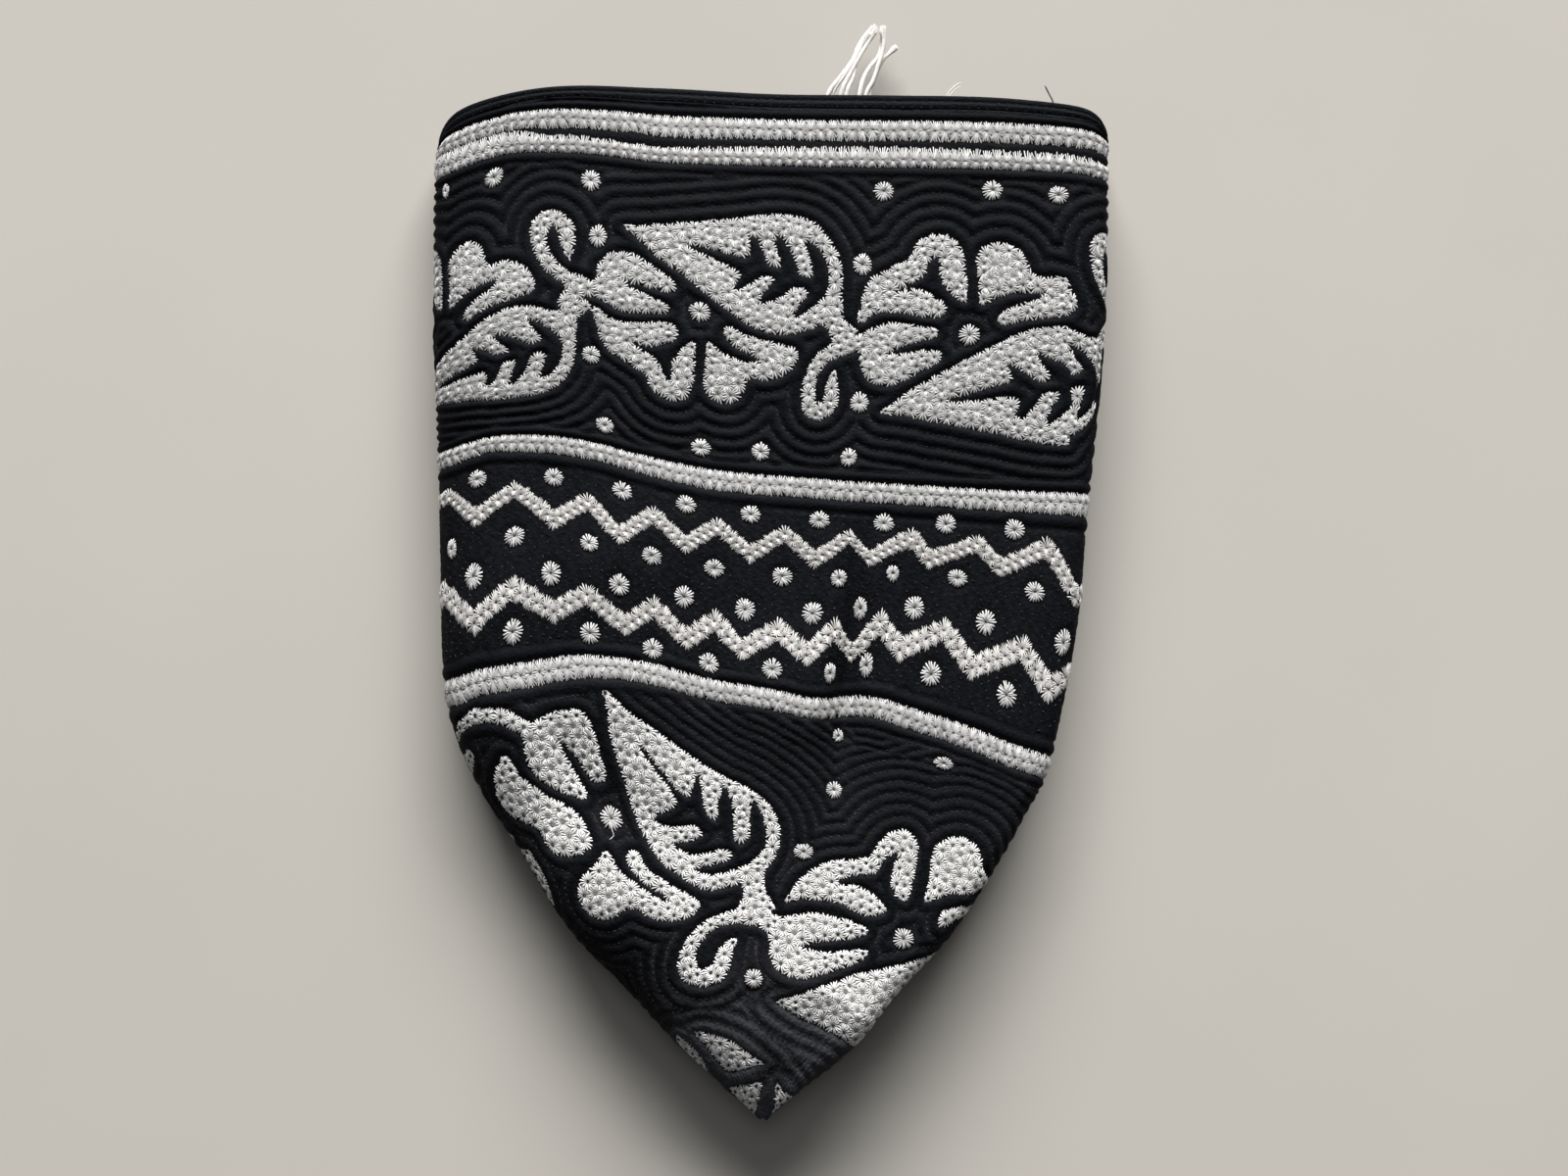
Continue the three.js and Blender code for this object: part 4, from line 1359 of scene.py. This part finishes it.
def embroider_dots():
    u, v, sizes = DOTS

    def reach(angle):
        return 1 / np.sqrt((np.cos(angle) / sizes[:, :1]) ** 2 + (np.sin(angle) / sizes[:, 1:]) ** 2)

    outer = star_threads(u, v, 20, reach, None, base=0.2, stations=4, hole=0.5, half_width=0.155,
                         rise=(0.1, 0.4, 0.42, 0.08))
    inner = star_threads(u, v, 12, lambda angle: 0.72 * reach(angle), None, base=STAR_BASE, stations=4,
                         hole=0.2, half_width=0.16, rise=(0.06, 0.28, 0.34, 0.08))
    joined("dot_stitches", [outer, inner], WALL_THREAD_SHADED, "white_thread")
    joined("dot_pinholes", [holes(u, v, 0.22, PAD_HEIGHT)], HOLE_BLACK, "white_thread")


embroider_dots()


# Black sewing: stitches in the channels, on the band and on the binding


def stitch_field(u, v):
    """Distance to the nearest sewn channel, and whether the cloth there is channelled."""
    stripe, vine, band = ground_fields(u, v)
    start = vine + RIB_START
    groove = start - np.round(start / RIB_PITCH) * RIB_PITCH
    by_stripe = stripe < CORD_WIDTH + 1.0
    away = np.where(by_stripe, stripe - CORD_WIDTH, groove)
    sewn = (stripe > 1.5) & (by_stripe | ((vine > 1.5) & (vine < FAR - 1))) & ~band & (v > BINDING_HEIGHT + 1)
    return away, sewn


def band_field(u, v):
    """Distance to the nearest row of stitches along the zigzags, and whether the cloth there is stitched."""
    outside = -zigzags_distance(u, v) - BAND_START
    row = outside - np.round(outside / BAND_PITCH) * BAND_PITCH
    _, _, band = ground_fields(u, v)
    return row, band & (outside > -0.5) & (stripes_distance(u, v) < -CORD_WIDTH - 0.4)


NEAR_ROW = 0.34
NUDGE = 0.25  # step over which slopes are taken
DROPPED = 0.12  # share of the places that is left out, so that the rows aren't quite even


def stitch_rows(field, pitch, area):
    """Places and directions of stitches along the rows of a field."""
    u, v = (g.ravel() for g in lattice(area, size=0.6))
    away, sewn = field(u, v)
    keep = sewn & (np.abs(away) < NEAR_ROW)
    u, v, away = u[keep], v[keep], away[keep]
    slope_u = (field(*step(u, v, NUDGE, 0))[0] - away) / NUDGE
    slope_v = (field(u, v + NUDGE)[0] - away) / NUDGE
    size = np.hypot(slope_u, slope_v)
    good = (size > 0.7) & (size < 1.3)
    u, v, away, slope_u, slope_v, size = (a[good] for a in (u, v, away, slope_u, slope_v, size))
    u, v = step(u, v, -away * slope_u / size**2, -away * slope_v / size**2)
    clear = (dot_share(u, v) < 0.3) & (rng.random(len(u)) > DROPPED)
    u, v, slope_u, slope_v = u[clear], v[clear], slope_u[clear], slope_v[clear]
    chosen = packed(sample(OUTER, u, v), rng.random(len(u)) * 0.3, pitch)
    return u[chosen], v[chosen], np.arctan2(slope_v, slope_u)[chosen] + np.pi / 2


STITCH_PITCH = 1.08
BAND_STITCH_PITCH = 1.4
BAND_START = 1.0  # the band's first row of stitches lies this far outside the zigzags
BAND_PITCH = 1.3


def sewn(name, rows, base, length, half_width, slot):
    """Short raised stitches at places and directions."""
    parts = [star_threads(u, v, 1, lambda angle: np.full(angle.shape, length / 2), None, base, 3, -length / 2,
                          half_width, spin=direction, rise=(-0.02, 0.3, 0.3, -0.02))
             for u, v, direction in rows]
    joined(name, parts, BLACK_THREAD_PAINTED_HIGHLIGHT, slot)


# Field, pitch and rows it covers, then height, length and half width of a stitch
SEWING = {
    "side_wall_sewing": (stitch_field, STITCH_PITCH, (15.0, WALL_HEIGHT - 0.5), 0.08, 0.62, 0.1, "wall_cloth"),
    "zigzag_band_sewing": (band_field, BAND_STITCH_PITCH, (82.0, 130.0), 0.2, 0.9, 0.085, "wall_cloth"),
    "crown_sewing": (stitch_field, STITCH_PITCH, (WALL_HEIGHT, 222.0), 0.18, 0.58, 0.11, "crown_cloth"),
}
RIM_STITCH_PITCH = 1.9


def sew():
    for name, (field, pitch, v_range, base, length, half_width, slot) in SEWING.items():
        rows = [stitch_rows(field, pitch, side + v_range) for side in SIDES]
        sewn(name, rows, base, length, half_width, slot)
    u = np.arange(-0.96, 1.04, RIM_STITCH_PITCH / WALL_PANEL)
    rim = [(u, np.full(len(u), row), 0.12 * (rng.random(len(u)) - 0.5)) for row in BINDING_ROWS]
    sewn("rim_binding_sewing", rim, base=0.30, length=1.05, half_width=0.13, slot="binding_cloth")


sew()


# Loose ends at the rim

# Pixels of the photograph from the rim outwards, and the height over the floor
YARN_ENDS = [
    (chart("838,122 846,94 858,78 869,63 876,49 884,38 891,28"), 9.5, 4.0),
    (chart("844,122 850,94 862,76 872,60 879,46 887,33"), 9.0, 5.6),
    (chart("854,122 859,93 868,74 878,56 885,44 893,31"), 8.9, 5.0),
    (chart("860,122 864,95 870,80 873,66 874,52 882,38 894,27"), 8.6, 4.6),
    (chart("874,122 877,96 881,80 888,68 896,58 900,44 901,27"), 9.4, 4.4),
    (chart("880,122 884,96 891,82 896,67 900,54 902,40 899,29"), 8.8, 6.2),
    (chart("884,122 887,96 893,78 900,62 908,54 914,48"), 8.2, 4.0),
]
# Small thread ends and a loop: pixels, heights over the floor, radius
SMALL_WHITE = [
    (chart("962,112 967,96 972,90 977,86 981,85"), 13.2, 12.2, 0.13),
    (chart("965,112 968,99 974,92 980,88"), 13.2, 12.4, 0.1),
    (chart("602,553 608,549 614,549 619,554 617,560 611,560 607,557"), 21.6, 21.4, 0.13),
    (chart("666,569 670,573 674,575"), 22.2, 22.4, 0.16),
    (chart("622,840 625,848 626,853 622,857"), 21.3, 21.2, 0.1),
]
SMALL_BLACK = (chart("1077,116 1074,103 1071,97 1066,87"), 13.4, 12.6)


def photo_path(pixels, heights, count):
    """A smooth path through points over the floor, each at its pixel and height."""
    reach = (CAMERA[2] - heights) / FOCAL_PIXELS
    x = CAMERA[0] + (pixels[:, 0] - PHOTO[0] / 2) * reach
    y = CAMERA[1] - (pixels[:, 1] - PHOTO[1] / 2) * reach
    place = np.linspace(0, len(pixels) - 1, count)
    return np.column_stack([smooth_along(values, place) for values in (x, y, heights)])


def axes_along(path):
    """Two directions across a path, a level one and the one over it."""
    ahead = np.gradient(path, axis=0)
    ahead /= np.linalg.norm(ahead, axis=1, keepdims=True)
    aside = np.cross(ahead, [0, 0, 1.0])
    aside /= np.linalg.norm(aside, axis=1, keepdims=True)
    return aside, np.cross(aside, ahead)


def tube(path, radius, sides=6):
    """A thread along a path, with tapering ends: points, quads and the fans that close its ends."""
    aside, above = axes_along(path)
    thick = radius * np.interp(np.arange(len(path)), [0, 1, len(path) - 3, len(path) - 1], [0.5, 1, 1, 0.45])
    angle = 2 * np.pi * np.arange(sides) / sides
    ring = np.cos(angle)[None, :, None] * aside[:, None] + np.sin(angle)[None, :, None] * above[:, None]
    points = (path[:, None] + thick[:, None, None] * ring).reshape(-1, 3)
    n, last = len(points), (len(path) - 1) * sides
    k = np.arange(sides)
    start_fan = np.column_stack([np.full(sides, n), k, (k + 1) % sides])
    end_fan = np.column_stack([np.full(sides, n + 1), last + (k + 1) % sides, last + k])
    quads = grid_faces(len(path), sides, True)
    return np.vstack([points, path[:1], path[-1:]]), quads, np.vstack([start_fan, end_fan])


def plied(path, radius, plies, turns):
    """Threads that twist round each other along a path and spread at its end."""
    aside, above = axes_along(path)
    share = np.linspace(0, 1, len(path))
    spread = radius * (1 + 0.9 * np.clip((share - 0.8) / 0.2, 0, 1))
    angles = [2 * np.pi * (k / plies + turns * share) for k in range(plies)]
    return [path + spread[:, None] * (np.cos(a)[:, None] * aside + np.sin(a)[:, None] * above) for a in angles]


def write_tubes(name, tubes, material, slot):
    starts = np.cumsum([0] + [len(points) for points, _, _ in tubes])
    faces = [tube_faces[k] + start for k in (1, 2) for tube_faces, start in zip(tubes, starts)]
    piece = mesh_object(name, np.concatenate([points for points, _, _ in tubes]), faces)
    add_tone(piece, 0.3 + 0.3 * rng.random(starts[-1]))
    finish_piece(piece, material, slot)


def loose_ends():
    tubes = []
    for pixels, z_from, z_to in YARN_ENDS:
        heights = np.interp(np.arange(len(pixels)), [0, 1, len(pixels) - 1], [z_from, z_from, z_to])
        for fibre in plied(photo_path(pixels, heights, 36), radius=0.34, plies=9, turns=3.5):
            tubes.append(tube(fibre + 0.05 * (rng.random((1, 3)) - 0.5), radius=0.12, sides=4))
    for pixels, z_from, z_to, radius in SMALL_WHITE:
        tubes.append(tube(photo_path(pixels, np.linspace(z_from, z_to, len(pixels)), 24), radius, 5))
    write_tubes("white_yarn_ends", tubes, YARN, "white_thread")
    pixels, z_from, z_to = SMALL_BLACK
    path = photo_path(pixels, np.linspace(z_from, z_to, len(pixels)), 20)
    write_tubes("black_thread_end", [tube(path, 0.16)], BLACK_THREAD_PAINTED_HIGHLIGHT, "binding_cloth")


loose_ends()


# Floor and light

def add_floor():
    half = 1.6
    corners = np.array([[-half, -half, 0], [half, -half, 0], [half, half, 0], [-half, half, 0]])
    floor = mesh_object("floor", corners / MM, [[[0, 1, 2, 3]]])
    material, tree, shader = new_material("pale_floor")
    slow = noise(tree, add_node(tree, "TexCoord", "Object"), 9.0, 3.0)
    fill_sockets(tree, shader, {
        "Base Color": ramp(tree, slow, [(0.3, (0.432, 0.413, 0.381)), (0.7, (0.45, 0.431, 0.399))]),
        "Roughness": 0.9,
        "Specular IOR Level": 0.1,
    })
    floor.data.materials.append(material)


def area_light(name, place, size, power, colour):
    """A soft light that points at the cap."""
    data = bpy.data.lights.new(name, "AREA")
    data.shape = "RECTANGLE"
    data.size, data.size_y = size
    data.energy = power
    data.color = colour
    light = bpy.data.objects.new(name, data)
    light.location = place
    light.rotation_mode = "QUATERNION"
    light.rotation_quaternion = (-Vector(place)).to_track_quat("-Z", "Y")
    bpy.context.scene.collection.objects.link(light)


def add_light():
    area_light("window", (0.25, 4.5, 2.1), (4.2, 1.9), 785, (1.0, 0.99, 0.97))
    area_light("ceiling", (0.0, 0.9, 2.6), (1.6, 1.6), 9, (0.96, 0.98, 1.0))
    world = bpy.data.worlds.new("soft_room")
    world.use_nodes = True
    background = world.node_tree.nodes["Background"]
    background.inputs["Color"].default_value = (0.93, 0.95, 1.0, 1)
    background.inputs["Strength"].default_value = 0.04
    bpy.context.scene.world = world
    bpy.context.scene.view_settings.view_transform = "Standard"


def declare_cloth():
    """The wall is a strip and the crown a disc, folded together in quarters. This only lists the pieces on the
    wall, and nothing uses the list.
    """
    parts = ("fill", "stitches", "pinholes")
    on_wall = [f"{name}_{part}" for name in ("wall_vine", "stripe", "zigzag") for part in parts]
    on_wall += ["dot_stitches", "dot_pinholes", "side_wall_sewing", "zigzag_band_sewing", "rim_binding_sewing"]


add_floor()
add_light()
declare_cloth()
